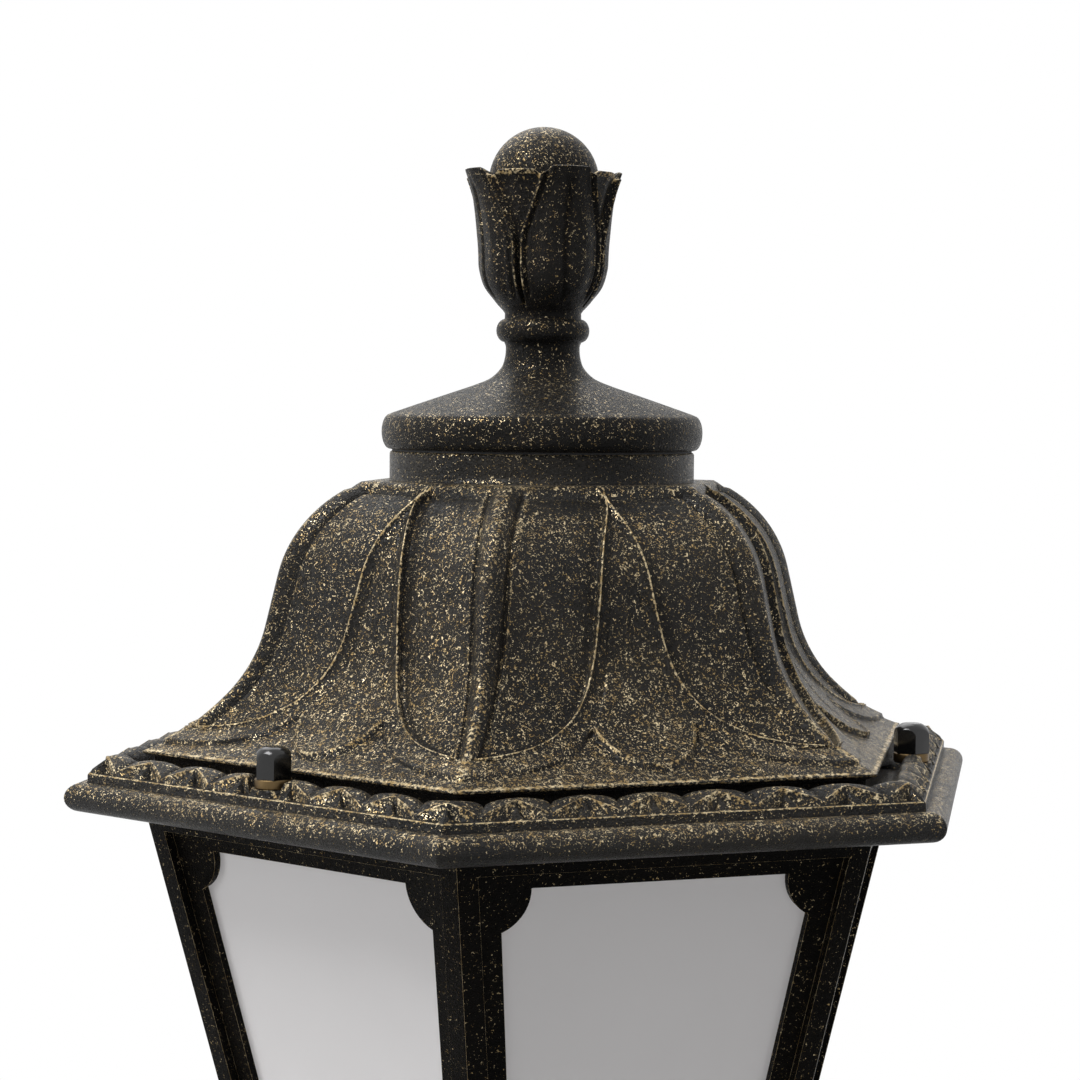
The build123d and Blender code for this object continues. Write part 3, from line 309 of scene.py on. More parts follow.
def plain(name, colour, roughness, metallic=0.0, grain=60.0, vary=0.12, depth=0.02, **extra):
    """A smooth made surface with slight variation of colour and a fine grain."""
    g = Graph(name)
    where = g.place
    cloud = g.noise(where, grain, 3.0, 0.6)
    fine = g.noise(where, 2600.0, 2.0, 0.6)
    darker = tuple(c * (1 - vary) for c in colour[:3]) + (1.0,)
    g.set(
        Base_Color=g.mix(g.band(cloud, 0.35, 0.65), darker, tuple(colour[:3]) + (1.0,)),
        Roughness=g.band(fine, 0.2, 0.8, roughness * 0.85, min(1.0, roughness * 1.15)),
        Metallic=metallic,
        Normal=g.bump(fine, depth * MM),
    )
    g.set(**extra)
    return g.material


def turned_metal(name, colour, roughness):
    """Machined metal with fine rings round its own axis."""
    g = Graph(name)
    where = g.place
    squeezed = g.add("ShaderNodeMapping", Vector=where, Scale=(60.0, 60.0, 3200.0)).outputs[0]
    rings = g.noise(squeezed, 1.0, 2.0, 0.6)
    cloud = g.noise(where, 90.0, 3.0)
    darker = tuple(c * 0.8 for c in colour[:3]) + (1.0,)
    g.set(
        Base_Color=g.mix(cloud, darker, tuple(colour[:3]) + (1.0,)),
        Roughness=g.band(rings, 0.25, 0.75, roughness * 0.8, roughness * 1.25),
        Metallic=1.0,
        Normal=g.bump(rings, 0.01 * MM),
    )
    return g.material


def opal(name, colour, roughness, glow):
    """Milk-white sheet: even, slightly cloudy, with a faint painted glow: it emits a little light of its own
    in place of the light that passes through it.
    """
    g = Graph(name)
    where = g.place
    cloud = g.noise(where, 14.0, 2.0, 0.5)
    peel = g.noise(where, 420.0, 1.0, 0.5)
    darker = tuple(c * 0.965 for c in colour[:3]) + (1.0,)
    g.set(
        Base_Color=g.mix(g.band(cloud, 0.3, 0.7), darker, tuple(colour[:3]) + (1.0,)),
        # Painted glow: emission on the sheet, standing in for light shining through it
        Emission_Color=(1.0, 0.97, 0.975, 1.0),
        Emission_Strength=glow,
        Roughness=roughness,
        Normal=g.bump(peel, 0.01 * MM),
    )
    return g.material


# Settings

def length(label, value):
    """A length in millimetres, shown with two decimals."""
    text = label + ", in millimetres"
    return bpy.props.FloatProperty(name=label, default=value, precision=2, description=text)


def amount(label, value):
    """A plain number."""
    return bpy.props.FloatProperty(name=label, default=value, description=label)


def angle(label, degrees):
    """An angle, given in degrees."""
    return bpy.props.FloatProperty(
        name=label, default=math.radians(degrees), subtype="ANGLE", unit="ROTATION", description=label
    )


def paint(label, value):
    """A colour with its alpha."""
    return bpy.props.FloatVectorProperty(
        name=label, default=value, size=4, subtype="COLOR", min=0.0, max=1.0, description=label
    )


class LanternStage(bpy.types.PropertyGroup):
    """Camera, floor and lights."""

    distance: length("Camera distance", 1153.4)
    azimuth: angle("Camera azimuth", 10.28)
    height: length("Camera height above the eaves", 160.8)
    pitch: angle("Camera pitch down", 3.06)
    roll: angle("Camera roll", 0.46)
    lens: length("Focal length", 92.03)
    shift: amount("Sideways shift", -0.0011)
    floor_radius: length("Floor radius", 700.0)
    key: amount("Key light power", 28.0)
    side: amount("Low light from the left", 5.0)
    fill: amount("Fill light power", 0.3)
    top: amount("Top light power", 9.0)
    sky: amount("Soft light from above", 0.50)
    horizon: amount("Soft light from the sides", 0.02)


class LanternCasting(bpy.types.PropertyGroup):
    """Look of one cast surface."""

    dark: paint("Dark lacquer", (0.009, 0.0085, 0.008, 1.0))
    light: paint("Light lacquer", (0.024, 0.021, 0.017, 1.0))
    gold: paint("Bronze fleck", (0.46, 0.32, 0.14, 1.0))
    pale_gold: paint("Pale fleck", (0.84, 0.69, 0.43, 1.0))
    grain: amount("Grain per metre", 1000.0)
    grain_depth: length("Grain depth", 0.58)
    roughness: amount("Roughness", 0.32)
    sheen: amount("Strength of reflections", 0.2)
    flecks: amount("Flecks", 0.46)
    flecks_and_light_up: amount("More flecks on upper surfaces", 0.68)
    fleck_limit: amount("Fleck threshold", 0.74)


class LanternDome(bpy.types.PropertyGroup):
    """Relief of the bell roof, in millimetres above its ground."""

    rows: bpy.props.IntProperty(name="Rows", default=88, description="Rows of faces up the dome")
    columns: bpy.props.IntProperty(name="Columns", default=80, description="Columns of faces on half a side")
    rim: length("Petal rim", 1.9)
    crest: length("Crest of the rim", 0.9)
    sink: length("Groove beside the rim", 0.9)
    rib: length("Corner rib", 2.9)
    rib_round: length("Rounding of the corner", 0.8)
    tongue: length("Tongue", 1.8)
    tongue_crest: length("Crest of the tongue's end", 0.8)
    lip: length("Lip under the collar", 2.0)


class LanternBorder(bpy.types.PropertyGroup):
    """Leaf border, plate edge and bead."""

    leaves: bpy.props.IntProperty(name="Leaves", default=7, description="Leaves on each side")
    columns: bpy.props.IntProperty(name="Columns", default=26, description="Columns of faces on a leaf")
    rise: length("Leaf height", 6.9)
    ridge: length("Ridge behind the edge", 9.0)
    back: length("Back of the leaf behind the edge", 13.4)
    gable: length("Depth of the hollow front", 5.0)
    valley: amount("Height between two leaves", 0.55)
    clearing: length("Clearing round a nut", 9.4)


class LanternFinial(bpy.types.PropertyGroup):
    """Relief of the tulip and its ball."""

    columns: bpy.props.IntProperty(name="Columns", default=400, description="Columns of faces round the axis")
    petals: bpy.props.IntProperty(name="Petals", default=4, description="Outer petals of the tulip")
    turn: angle("Turn of the petals", 31.0)
    inner_sink: length("Depth of the inner petals", 4.2)
    inner_drop: length("Fall of the lip between two petals", 3.3)
    rim: length("Rolled edge of a petal", 1.0)
    vein: length("Depth of the veins", 1.1)


# Roof: widths and heights in millimetres from the axis and from the eaves

DOME_LINE = ((145.8, 16.6), (106.8, 33.8), (91.1, 105.9), (66.5, 122.3))
DOME_RADII = (62, 50)
COLLAR_RADIUS = 63.5
COLLAR_TOP = 136.2

# Edges of the relief on half a side: height, then distance from the corner, or from the middle for the tongue
FIELD_EDGE = (
    (121.5, 37.5), (115, 43.3), (100, 44.4), (80, 44.5), (62, 43.6), (48, 42), (38, 38.6), (31.5, 33),
    (27.6, 25.5), (25.2, 14), (24, 0),
)
PETAL_EDGE = (
    (121.5, 43), (115, 48), (100, 49.2), (80, 49.3), (62, 49.2), (46, 49.3), (36, 47.4), (29, 43.8),
    (24, 37.6), (21.3, 27), (20.2, 15), (19.7, 0),
)
TONGUE_EDGE = ((46, 22), (36, 21.6), (30, 19.6), (25, 15.6), (22, 9.2), (20.6, 3.6), (20.3, 0))


def dome_ground():
    """The bell line without relief, as widths, heights, outward directions and the run along it."""
    line, run = filleted(DOME_LINE, DOME_RADII)
    slope = np.gradient(line, axis=0)
    slope /= np.linalg.norm(slope, axis=1)[:, None]
    return line, np.column_stack([slope[:, 1], -slope[:, 0]]), run


def dome_relief(look, height, run, corner, centre, run_of):
    """Relief, worn gold and painted shade of the petals from the distances to the corner and to the side's
    middle.
    """
    lines = {}
    for name, drawn in (("field", FIELD_EDGE), ("petal", PETAL_EDGE), ("tongue", TONGUE_EDGE)):
        line = curve_through(drawn)
        lines[name] = np.column_stack([run_of(line[:, 0]), line[:, 1]])
    far = run.max() + 40

    def signed(name, across):
        line = lines[name]
        outline = np.vstack([[far, -60], [far, line[0, 1]], line, [line[-1, 0], -60]])
        return np.where(within(outline, run, across), -1, 1) * away_from(line, run, across)

    field = signed("field", corner)
    petal = signed("petal", corner)
    tongue = signed("tongue", centre)

    # The sunk field of a petal with its groove, crown and half of the corner rib
    low_part = smooth(50, 34, height)
    inside = np.clip(-field, 0, None)
    hollow = -look.sink * hump(inside, 2.0, 1.7) - 0.3 * (1 - smooth(2.0, 11.0, inside))
    hollow = hollow + 0.35 * smooth(4.0, 18.0, inside)
    rib_width = np.interp(height, (24, 45, 80, 121), (4.4, 5.6, 6.8, 7.2))
    reach = np.clip(corner / rib_width, 0, 1)
    rib = look.rib * np.cos(reach * math.pi / 2) ** 0.9
    rib = rib - 1.0 * hump(corner, rib_width + 0.4, 0.8) + 0.4 * hump(corner, rib_width + 2.2, 0.8)
    hollow = hollow + rib * smooth(0.0, 2.2, inside)

    # The raised rim round the field, which widens to a shoulder near the foot
    share = np.clip(field / np.clip(field - petal, 0.5, None), 0, 1)
    slope = look.rim * (1 - share) ** 0.8
    shoulder = look.rim * (1.0 - 0.25 * share**2)
    band = slope + (shoulder - slope) * low_part + look.crest * hump(field, 0.35, 0.65)
    leaf = hollow + (band - hollow) * smooth(-0.75, 0.15, field)

    # The round tongue between two petals
    end = smooth(62, 36, height)
    behind = look.tongue * (0.25 + 0.75 * end) + 0.35 * hump(centre, 0, 1.0) * smooth(24, 32, height)
    edge = look.tongue_crest * hump(tongue, -0.7, 0.75) * smooth(37, 31, height)
    low = (behind + edge) * smooth(0.25, -0.35, tongue)
    relief = leaf + (low - leaf) * smooth(-0.35, 0.35, petal)

    # The rounded corner, the lip under the collar and the plain foot
    relief = relief - look.rib_round * np.clip(1 - corner / 3.2, 0, 1) ** 2
    lip = smooth(120.3, 121.1, height)
    relief = relief - 0.9 * hump(height, 119.7, 0.7)
    relief = relief + (look.lip - relief) * lip
    relief = relief * smooth(16.6, 18.2, height)

    # Gold on the crests, and fewer flecks beside them, in the groove inside the rim and under the collar's
    # lip, which paints shade there
    wear_and_shade = 1.0 * hump(field, 0.4, 0.45) * smooth(0.4, -0.2, petal)
    tongue_end = 0.95 * hump(tongue, -0.7, 0.6) * smooth(38, 32, height)
    wear_and_shade = np.maximum(wear_and_shade, tongue_end * smooth(-0.3, 0.3, petal))
    # Gold along the corner crest, thickest at the foot: worn gold, and also a painted highlight on the rib's
    # lower part
    crest = np.interp(height, (18, 27, 40, 60, 121), (0.7, 0.62, 0.52, 0.3, 0.3))
    wear_and_shade = np.maximum(wear_and_shade, crest * hump(corner, 1.0, 1.8) * smooth(17, 21, height))
    wear_and_shade = np.maximum(wear_and_shade, 0.5 * hump(corner, rib_width + 2.2, 0.5) * smooth(0.0, 2.0, inside))
    wear_and_shade = np.maximum(wear_and_shade, 0.85 * hump(height, 17.1, 0.45))
    wear_and_shade = np.maximum(wear_and_shade, 0.8 * hump(height, 121.6, 0.5))
    # Fewer flecks in the groove, outside the rim up high and under the lip: painted shade
    calm_and_shade = 0.55 * hump(inside, 2.6, 1.9) * smooth(0.0, 0.6, inside)
    calm_and_shade = calm_and_shade + 0.5 * hump(field, 2.2, 1.2) * (1 - low_part)
    calm_and_shade = np.maximum(calm_and_shade, 0.6 * smooth(108, 117, height) * smooth(0.5, 3.0, inside))
    wear_and_shade = np.where(wear_and_shade > 0.08, wear_and_shade, -np.clip(calm_and_shade, 0, 1))
    return relief, wear_and_shade


# Foot of the dome and rings of the collar: width, height and worn gold; below zero means fewer flecks,
# painted shade under the cap's rim
SKIRT_FOOT = ((145.75, 16.0, 0.8), (144.6, 15.3, 0.1), (141.5, 14.1, 0.0), (141.5, 7.9, 0.0))
COLLAR_RINGS = (
    (COLLAR_RADIUS, 124.2, -0.5), (COLLAR_RADIUS, 128, -0.5), (COLLAR_RADIUS, 132, -0.5),
    (COLLAR_RADIUS, COLLAR_TOP - 1.0, -0.4), (COLLAR_RADIUS - 0.35, COLLAR_TOP - 0.3, 0.4),
    (COLLAR_RADIUS - 1.0, COLLAR_TOP, 0.7), (30.0, COLLAR_TOP, 0.0), (4.4, COLLAR_TOP, 0.0),
    (4.4, COLLAR_TOP - 4.0, 0.0),
)


def dome_columns(look, height, half):
    """Distances from the corner of each row's points, close together at the rib and along the petal's rim."""
    field = curve_through(FIELD_EDGE)
    petal = curve_through(PETAL_EDGE)
    field_at = np.minimum(np.interp(-height, -field[:, 0], field[:, 1]), half * 0.97)
    petal_at = np.minimum(np.interp(-height, -petal[:, 0], petal[:, 1]), half * 0.985)
    field_at = np.where(height < 24, half * 0.3, field_at)
    petal_at = np.where(height < 19.7, half * 0.5, petal_at)
    rib_at = np.minimum(9.5, field_at * 0.5)
    field_at = np.maximum(field_at, rib_at + 1)
    petal_at = np.clip(petal_at, field_at + 1, None)
    petal_at = np.minimum(petal_at, half - 0.4)
    field_at = np.minimum(field_at, petal_at - 0.5)
    inside_rim = np.clip(field_at - 1.2, rib_at + 0.3, None)
    stops = np.column_stack([0 * half, rib_at, inside_rim, petal_at + 0.8, half])
    stops = np.minimum(stops, half[:, None])
    counts = [int(look.columns * share) for share in (0.24, 0.18, 0.24)]
    counts.append(look.columns - sum(counts))
    places = [stops[:, :1]]
    for k, count in enumerate(counts):
        t = np.linspace(0, 1, count + 1)[1:]
        places.append(stops[:, k : k + 1] + (stops[:, k + 1 : k + 2] - stops[:, k : k + 1]) * t)
    return np.hstack(places)


class LANTERN_OT_roof_dome(bpy.types.Operator):
    """Make the bell roof with its petals, tongues, corner ribs, lip and collar"""

    bl_idname = "lantern.roof_dome"
    bl_label = "Roof dome"

    def execute(self, context):
        look = context.scene.lantern_dome
        line, out, run = dome_ground()

        def run_of(height):
            return np.interp(height, line[:, 1], run)

        dense = run_of(np.array([40.0]))[0]
        low_rows = int(look.rows * 0.56)
        rows = np.r_[
            np.linspace(0, dense, low_rows, endpoint=False),
            np.linspace(dense, run[-1], look.rows - low_rows + 1),
        ]
        width = np.interp(rows, run, line[:, 0])
        height = np.interp(rows, run, line[:, 1])
        out_w = np.interp(rows, run, out[:, 0])
        out_h = np.interp(rows, run, out[:, 1])
        half = width * TAN30
        corner = dome_columns(look, height, half)
        shape = corner.shape
        grid_height = np.broadcast_to(height[:, None], shape)
        centre = half[:, None] - corner
        grid_run = np.broadcast_to(rows[:, None], shape)
        relief, wear_and_shade = dome_relief(look, grid_height, grid_run, corner, centre, run_of)
        grid_width = width[:, None] + relief * out_w[:, None]
        grid_height = grid_height + relief * out_h[:, None]
        along = (1 - corner / half[:, None]) * grid_width * TAN30
        share = corner[:1] / half[0]
        for w, h, worn in SKIRT_FOOT:
            grid_width = np.vstack([np.full((1, shape[1]), w), grid_width])
            grid_height = np.vstack([np.full((1, shape[1]), h), grid_height])
            along = np.vstack([(1 - share) * w * TAN30, along])
            wear_and_shade = np.vstack([np.full((1, shape[1]), worn), wear_and_shade])
        side_w = np.hstack([grid_width, grid_width[:, -2:0:-1]])
        side_h = np.hstack([grid_height, grid_height[:, -2:0:-1]])
        side_y = np.hstack([-along, along[:, -2:0:-1]])
        side_wear_and_shade = np.hstack([wear_and_shade, wear_and_shade[:, -2:0:-1]])
        points = np.hstack([turned(side_w, side_y, side_h, k) for k in range(SIDES)])
        wear_and_shade = np.hstack([side_wear_and_shade] * SIDES)
        last = points[-1]
        around = np.arctan2(last[:, 1], last[:, 0])
        collar_foot = (COLLAR_RADIUS + 0.8, float(last[0, 2] - EAVES) / MM + 0.2, -0.5)
        for radius, high, worn in (collar_foot, *COLLAR_RINGS):
            points = np.vstack([points, level(radius, high, around)[None]])
            wear_and_shade = np.vstack([wear_and_shade, np.full((1, wear_and_shade.shape[1]), worn)])
        piece = skin("roof_dome", points, wear_and_shade)
        place(piece, "roof", "roof_casting", FINISHES["roof_casting"], "roof")
        return {"FINISHED"}


# Plate, studs and bead; rows of three are width, height and worn gold, below zero fewer flecks: painted shade
# on the plate's side, stronger lower down, and under the bead
PLATE_EDGE = 164.9
PLATE_TOP = 8.4
STUD_REACH = 154.9
PAD_RISE = 2.55
PAD_RADIUS = 8.75
BEAD_WIDTH, BEAD_HEIGHT = 166.6, -1.0
BEAD_OUT, BEAD_UP = 6.55, 5.8
BEAD_FOOT = (162.5, -6.8, 0.0)
PLATE_SIDE = ((165.2, 4.7, -0.6), (164.95, 5.2, -0.5), (164.95, 7.6, -0.3), (164.8, 8.15, 0.8))


def leaf_front(look, across, half_pitch):
    """Share of the way from a leaf's middle to its side, and where its hollow front ends."""
    q = np.clip(np.abs(across) / half_pitch, 0, 1)
    return q, look.gable * (1 - q**1.15) + 0.75


def leaf_height(look, across, behind, half_pitch):
    """Height and worn gold of one leaf above the plate, from the place across it and behind the plate's edge,
    with fewer flecks that paint shade in its hollow front.
    """
    q, front = leaf_front(look, across, half_pitch)
    start = 5.0 * (1 - q) ** 0.85 + 1.0
    top = look.rise * (look.valley + (1 - look.valley) * np.sqrt(np.clip(1 - q**2, 0, 1)))
    t = np.clip((behind - front) / (look.ridge - front), 0, 1)
    body = start + (top - start) * np.sin(t * math.pi / 2)
    fall = np.clip((behind - look.ridge) / (look.back - look.ridge), 0, 1)
    body = body * np.sqrt(np.clip(1 - fall**2.2, 0, 1))
    body = body + 0.45 * hump(behind, front + 0.6, 0.6) * smooth(1.0, 0.85, q)
    flute = 0.28 * hump(np.abs(across), 0.42 * half_pitch, 1.3) * smooth(front + 0.4, front + 2.2, behind)
    body = body - flute * smooth(look.ridge + 1, look.ridge - 3, behind)
    stem_width = np.interp(behind, (0.6, 2.2, 5.4), (3.3, 2.5, 1.2))
    stem = np.interp(behind, (0.4, 1.2, 5.4), (0.6, 1.7, 5.0))
    stem = stem * np.sqrt(np.clip(1 - (across / stem_width) ** 2, 0, 1)) * smooth(0.2, 0.9, behind)
    floor = np.maximum(stem, 0.0)
    inner = smooth(-0.02, 0.24, behind - front)
    wear_and_shade = 0.85 * hump(behind, front + 0.5, 0.4) * smooth(1.0, 0.9, q)
    stem_side = 0.55 * hump(np.abs(across), 2.2, 0.5) * smooth(front, front - 1.0, behind)
    wear_and_shade = np.maximum(wear_and_shade, stem_side * (stem > 0.3))
    crown = 0.4 * hump(behind, look.ridge - 1.5, 2.5) * (1 - q)
    # No flecks in the hollow front, and fewer on the leaf away from its crown: painted shade
    calm_and_shade = np.where(inner < 0.5, 1.0, 0.55 - crown)
    return floor + (body - floor) * inner, np.where(wear_and_shade > 0.15, wear_and_shade, -calm_and_shade)


class LANTERN_OT_roof_border(bpy.types.Operator):
    """Make the leaf border, the plate's edge and the bead round the eaves"""

    bl_idname = "lantern.roof_border"
    bl_label = "Roof border"

    def execute(self, context):
        look = context.scene.lantern_border
        half = PLATE_EDGE * TAN30
        half_pitch = half / look.leaves
        count = look.columns * look.leaves
        spot = np.linspace(-half, half, count + 1)[:-1]
        across = (spot + half + half_pitch) % (2 * half_pitch) - half_pitch
        front = leaf_front(look, across, half_pitch)[1]
        behind = [front * t for t in np.linspace(0.0, 0.94, 9)]
        behind += [front + t for t in (-0.02, 0.24, 0.6, 1.1)]
        behind += [front + 1.1 + (look.ridge - front - 1.1) * t for t in np.linspace(0, 1, 8)[1:]]
        for t in np.linspace(0, 1, 7)[1:]:
            behind.append(np.full(count, look.ridge + (look.back - look.ridge) * math.sin(t * math.pi / 2)))
        behind += [np.full(count, b) for b in (16.0, 23.6)]
        behind = np.array(behind)
        rise, wear_and_shade = leaf_height(look, np.broadcast_to(across, behind.shape), behind, half_pitch)
        rise = rise * (behind < look.back + 0.01)
        # Fewer flecks on the plate behind the leaves: painted shade under the dome's foot
        wear_and_shade = np.where(behind < look.back, wear_and_shade, -0.6)
        wear_and_shade[0] = 0.9
        low = [BEAD_FOOT]
        for t in np.radians(np.linspace(-90, 90, 15)):
            high = BEAD_HEIGHT + BEAD_UP * math.sin(t)
            # The bead's lower half gets fewer flecks, more so further down: painted shade under it
            low.append((BEAD_WIDTH + BEAD_OUT * math.cos(t), high, -0.45 * max(0.0, (1.5 - high) / 8)))
        low = np.array(low + list(PLATE_SIDE))
        sides = []
        worn = []
        for side in range(SIDES):
            lift = rise.copy()
            width = PLATE_EDGE - behind - 0.35
            along = spot * width / PLATE_EDGE
            if side in STUD_SIDES:
                gap = np.hypot(width - STUD_REACH, along)
                clear = smooth(look.clearing, look.clearing + 1.6, gap)
                pad = PAD_RISE * smooth(PAD_RADIUS, PAD_RADIUS - 0.3, gap)
                lift = np.maximum(lift * clear, pad)
            low_w = np.broadcast_to(low[:, :1], (len(low), count))
            low_h = np.broadcast_to(low[:, 1:2], (len(low), count))
            side_w = np.vstack([low_w, width])
            side_h = np.vstack([low_h, PLATE_TOP + lift])
            side_y = np.vstack([spot * low_w / PLATE_EDGE, along])
            sides.append(turned(side_w, side_y, side_h, side))
            worn.append(np.vstack([np.broadcast_to(low[:, 2:3], (len(low), count)), wear_and_shade]))
        piece = skin("roof_border", np.hstack(sides), np.hstack(worn))
        place(piece, "roof", "roof_casting", FINISHES["roof_casting"], "roof")
        return {"FINISHED"}


INNER_LINE = ((137.5, 17.3), (102.8, 30.8), (87.1, 102.9), (62.5, 119.3))
INNER_FOOT = ((162.5, -6.8), (162.5, -2.0), (162.5, 3.4), (150.0, 3.4), (137.5, 3.4), (137.5, 10.0))
INNER_TOP = ((59.0, 119.8), (59.0, 132.2), (30.0, 132.2), (4.4, 132.2), (4.4, 136.0))


class LANTERN_OT_roof_inside(bpy.types.Operator):
    """Make the plain underside of the roof: skirt, plate, hollow and web"""

    bl_idname = "lantern.roof_inside"
    bl_label = "Roof inside"

    def execute(self, context):
        stops = np.vstack([INNER_FOOT, filleted(INNER_LINE, DOME_RADII, 4.0)[0]])
        steps = 12
        sides = []
        for side in range(SIDES):
            width = np.array([w for w, h in stops])[:, None] * np.ones(steps)
            height = np.array([h for w, h in stops])[:, None] * np.ones(steps)
            share = np.linspace(-1, 1, steps + 1)[:-1]
            sides.append(turned(width, width * TAN30 * share, height, side))
        points = np.hstack(sides)
        around = np.arctan2(points[-1, :, 1], points[-1, :, 0])
        for radius, high in INNER_TOP:
            points = np.vstack([points, level(radius, high, around)[None]])
        piece = skin("roof_inside", points, flip=True)
        # The underside takes the darker cage copy of the lacquer: painted shade
        place(piece, "roof", "roof_casting", FINISHES["cage_casting"], "roof")
        return {"FINISHED"}


# Finial: radii and heights in millimetres; half the gap between two outer petals widens with the height

GAP_HEIGHTS = (196, 205, 219, 224.9, 233.8, 242.8, 249.3, 252.6)
GAP_WIDTHS = (0.5, 0.8, 1.0, 1.4, 5.1, 9.3, 12.5, 13.4)
CAP_FOOT = ((55.0, 137.05), (62.9, 137.05))
CAP_RIM = (63.5, 144.2, 3.4, 7.2, 86, 15)
NECK_RING = (15.6, 186.4, 3.8, 4.85, 84, 13)
NECK = ((15.9, 192.0), (15.9, 193.6), (16.8, 194.9))
TULIP_FOOT = (16.9, 194.9)
CAP_CONE = (
    (62.6, 151.9), (52.0, 155.6), (38.0, 160.4), (27.0, 164.2), (21.2, 166.9), (17.2, 171.0), (15.7, 175.4),
    (15.4, 179.5), (15.9, 181.2),
)
TULIP_LINE = (
    TULIP_FOOT, (20.2, 198.6), (24.6, 204.4), (26.8, 211.7), (27.2, 218.0), (27.6, 224.0), (28.9, 234.0),
    (31.0, 244.0), (33.2, 250.6), (33.85, 252.3),
)
LIP = ((0.5, 252.6, 0.3), (1.5, 252.75, 0.3), (3.0, 252.3, 0.1), (4.4, 250.6, -0.3))
BALL_RADIUS = 22.95
BALL_HEIGHT = 247.8


def bulge(radius, height, out, up, reach, count):
    """Points of a rounded ring: its middle, its half sizes, the reach in degrees and how many points."""
    turns = [math.radians(a) for a in np.linspace(-reach, reach, count)]
    return [(radius + out * math.cos(t), height + up * math.sin(t)) for t in turns]


def finial_line():
    """Radius against height of the finial, from the cap's foot to the tulip's lip."""
    cone = curve_through(CAP_CONE, 5)
    tulip = curve_through(TULIP_LINE, 7)
    return np.vstack([CAP_FOOT, bulge(*CAP_RIM), cone, bulge(*NECK_RING), NECK, tulip[1:]])


class LANTERN_OT_finial(bpy.types.Operator):
    """Make the cap, the neck, the tulip with its petals and the ball"""

    bl_idname = "lantern.finial"
    bl_label = "Finial"

    def execute(self, context):
        look = context.scene.lantern_finial
        line = finial_line()
        around = np.arange(look.columns) * math.tau / look.columns
        part = math.tau / look.petals
        from_petal = np.abs((around - look.turn + part / 2) % part - part / 2)

        # The lip falls between two outer petals
        top_edge = (part / 2 - from_petal) * line[-1, 0] - GAP_WIDTHS[-1]
        inner_fall = 0.35 + 0.65 * smooth(-5.5, -0.3, top_edge)
        drop = look.inner_drop * np.where(top_edge < 0, inner_fall, 1 - smooth(-0.5, 6.0, top_edge))
        first = np.broadcast_to(line[:, 1:], (len(line), look.columns))
        height = first - drop * smooth(236, 252.3, first)
        upper = line[line[:, 1] > 220]
        radius = np.where(first > 230, np.interp(height, upper[:, 1], upper[:, 0]), line[:, :1])

        # Outer petals: rounded sides, a rolled edge with a groove beside it, and a vein up the middle
        bloom = smooth(195.5, 200, height)
        from_gap = (part / 2 - from_petal) * radius
        gap = np.interp(height, GAP_HEIGHTS, GAP_WIDTHS)
        edge = from_gap - gap
        body = smooth(197, 204, height)
        lift = -1.5 * (1 - smooth(2.0, 12.0, edge)) * body
        lift = lift + look.rim * (hump(edge, 0.9, 0.9) + 0.35 * hump(edge, 4.4, 0.9)) * body
        lift = lift - 0.8 * hump(edge, 2.7, 0.8) * body
        vein = from_petal * radius
        lift = lift - look.vein * hump(vein, 0, 1.3) * smooth(251, 240, height) * body
        lift = lift - 0.5 * smooth(9.0, 3.0, vein) * smooth(206, 216, height) * smooth(250, 240, height)

        # Inner petals stand back in the gaps
        inner = -look.inner_sink + 0.8 * hump(from_gap, 0, 3.2) * smooth(226, 232, height)
        inner = inner + 0.9 * smooth(246, 252, height)
        petal = smooth(-0.35, 0.35, edge)
        shape = inner + (lift - inner) * petal
        grid = radius + bloom * shape

        # Gold on the rolled edges and the inner petals' lips, and fewer flecks on the petals and below them,
        # which paints shade on the tulip and the neck under it
        wear_and_shade = 0.62 * body * hump(edge, 0.9, 0.55)
        wear_and_shade = np.where((first > 250.0) & (petal < 0.5), 0.66, wear_and_shade)
        wear_and_shade = np.where(wear_and_shade > 0.1, wear_and_shade, -0.2 * body)
        wear_and_shade = np.where(height < 194.5, -0.35, wear_and_shade)
        wear_and_shade = np.where(np.abs(height - 186.4) < 4.5, 0.0, wear_and_shade)
        wear_and_shade = np.where(height < 152, -0.1, wear_and_shade)

        # Over the lip, down to the ball and up to its top
        rows = [(grid[k], height[k], wear_and_shade[k]) for k in range(len(line))]
        tall = petal[-1] * smooth(-0.5, 3.0, edge[-1])
        lip_out = grid[-1]
        for inward, high, worn in LIP:
            worn = np.where(tall < 0.5, worn + 0.3, worn)
            rows.append((lip_out - inward, high - drop, worn))
        rows.append((np.full(look.columns, 23.6), np.full(look.columns, 246.6), np.zeros(look.columns)))
        for t in np.radians(np.linspace(-3, 88.5, 26)):
            out, up = BALL_RADIUS * math.cos(t), BALL_HEIGHT + BALL_RADIUS * math.sin(t)
            # More gold towards the ball's top: worn gold, and also painted light from above
            worn = np.full(look.columns, 0.1 + 0.25 * max(0.0, math.sin(t)))
            rows.append((np.full(look.columns, out), np.full(look.columns, up), worn))
        points = np.array([level(r, h, around) for r, h, _ in rows])
        wear_and_shade = np.array([w for _, _, w in rows])
        piece = skin("finial_bloom", points, wear_and_shade, cap_last=True, cap_first=True)
        place(piece, "roof", "roof_casting", FINISHES["finial_casting"], "finial_cap")
        return {"FINISHED"}


# Cage, cup and small parts: copies of the CAD solids with eased edges

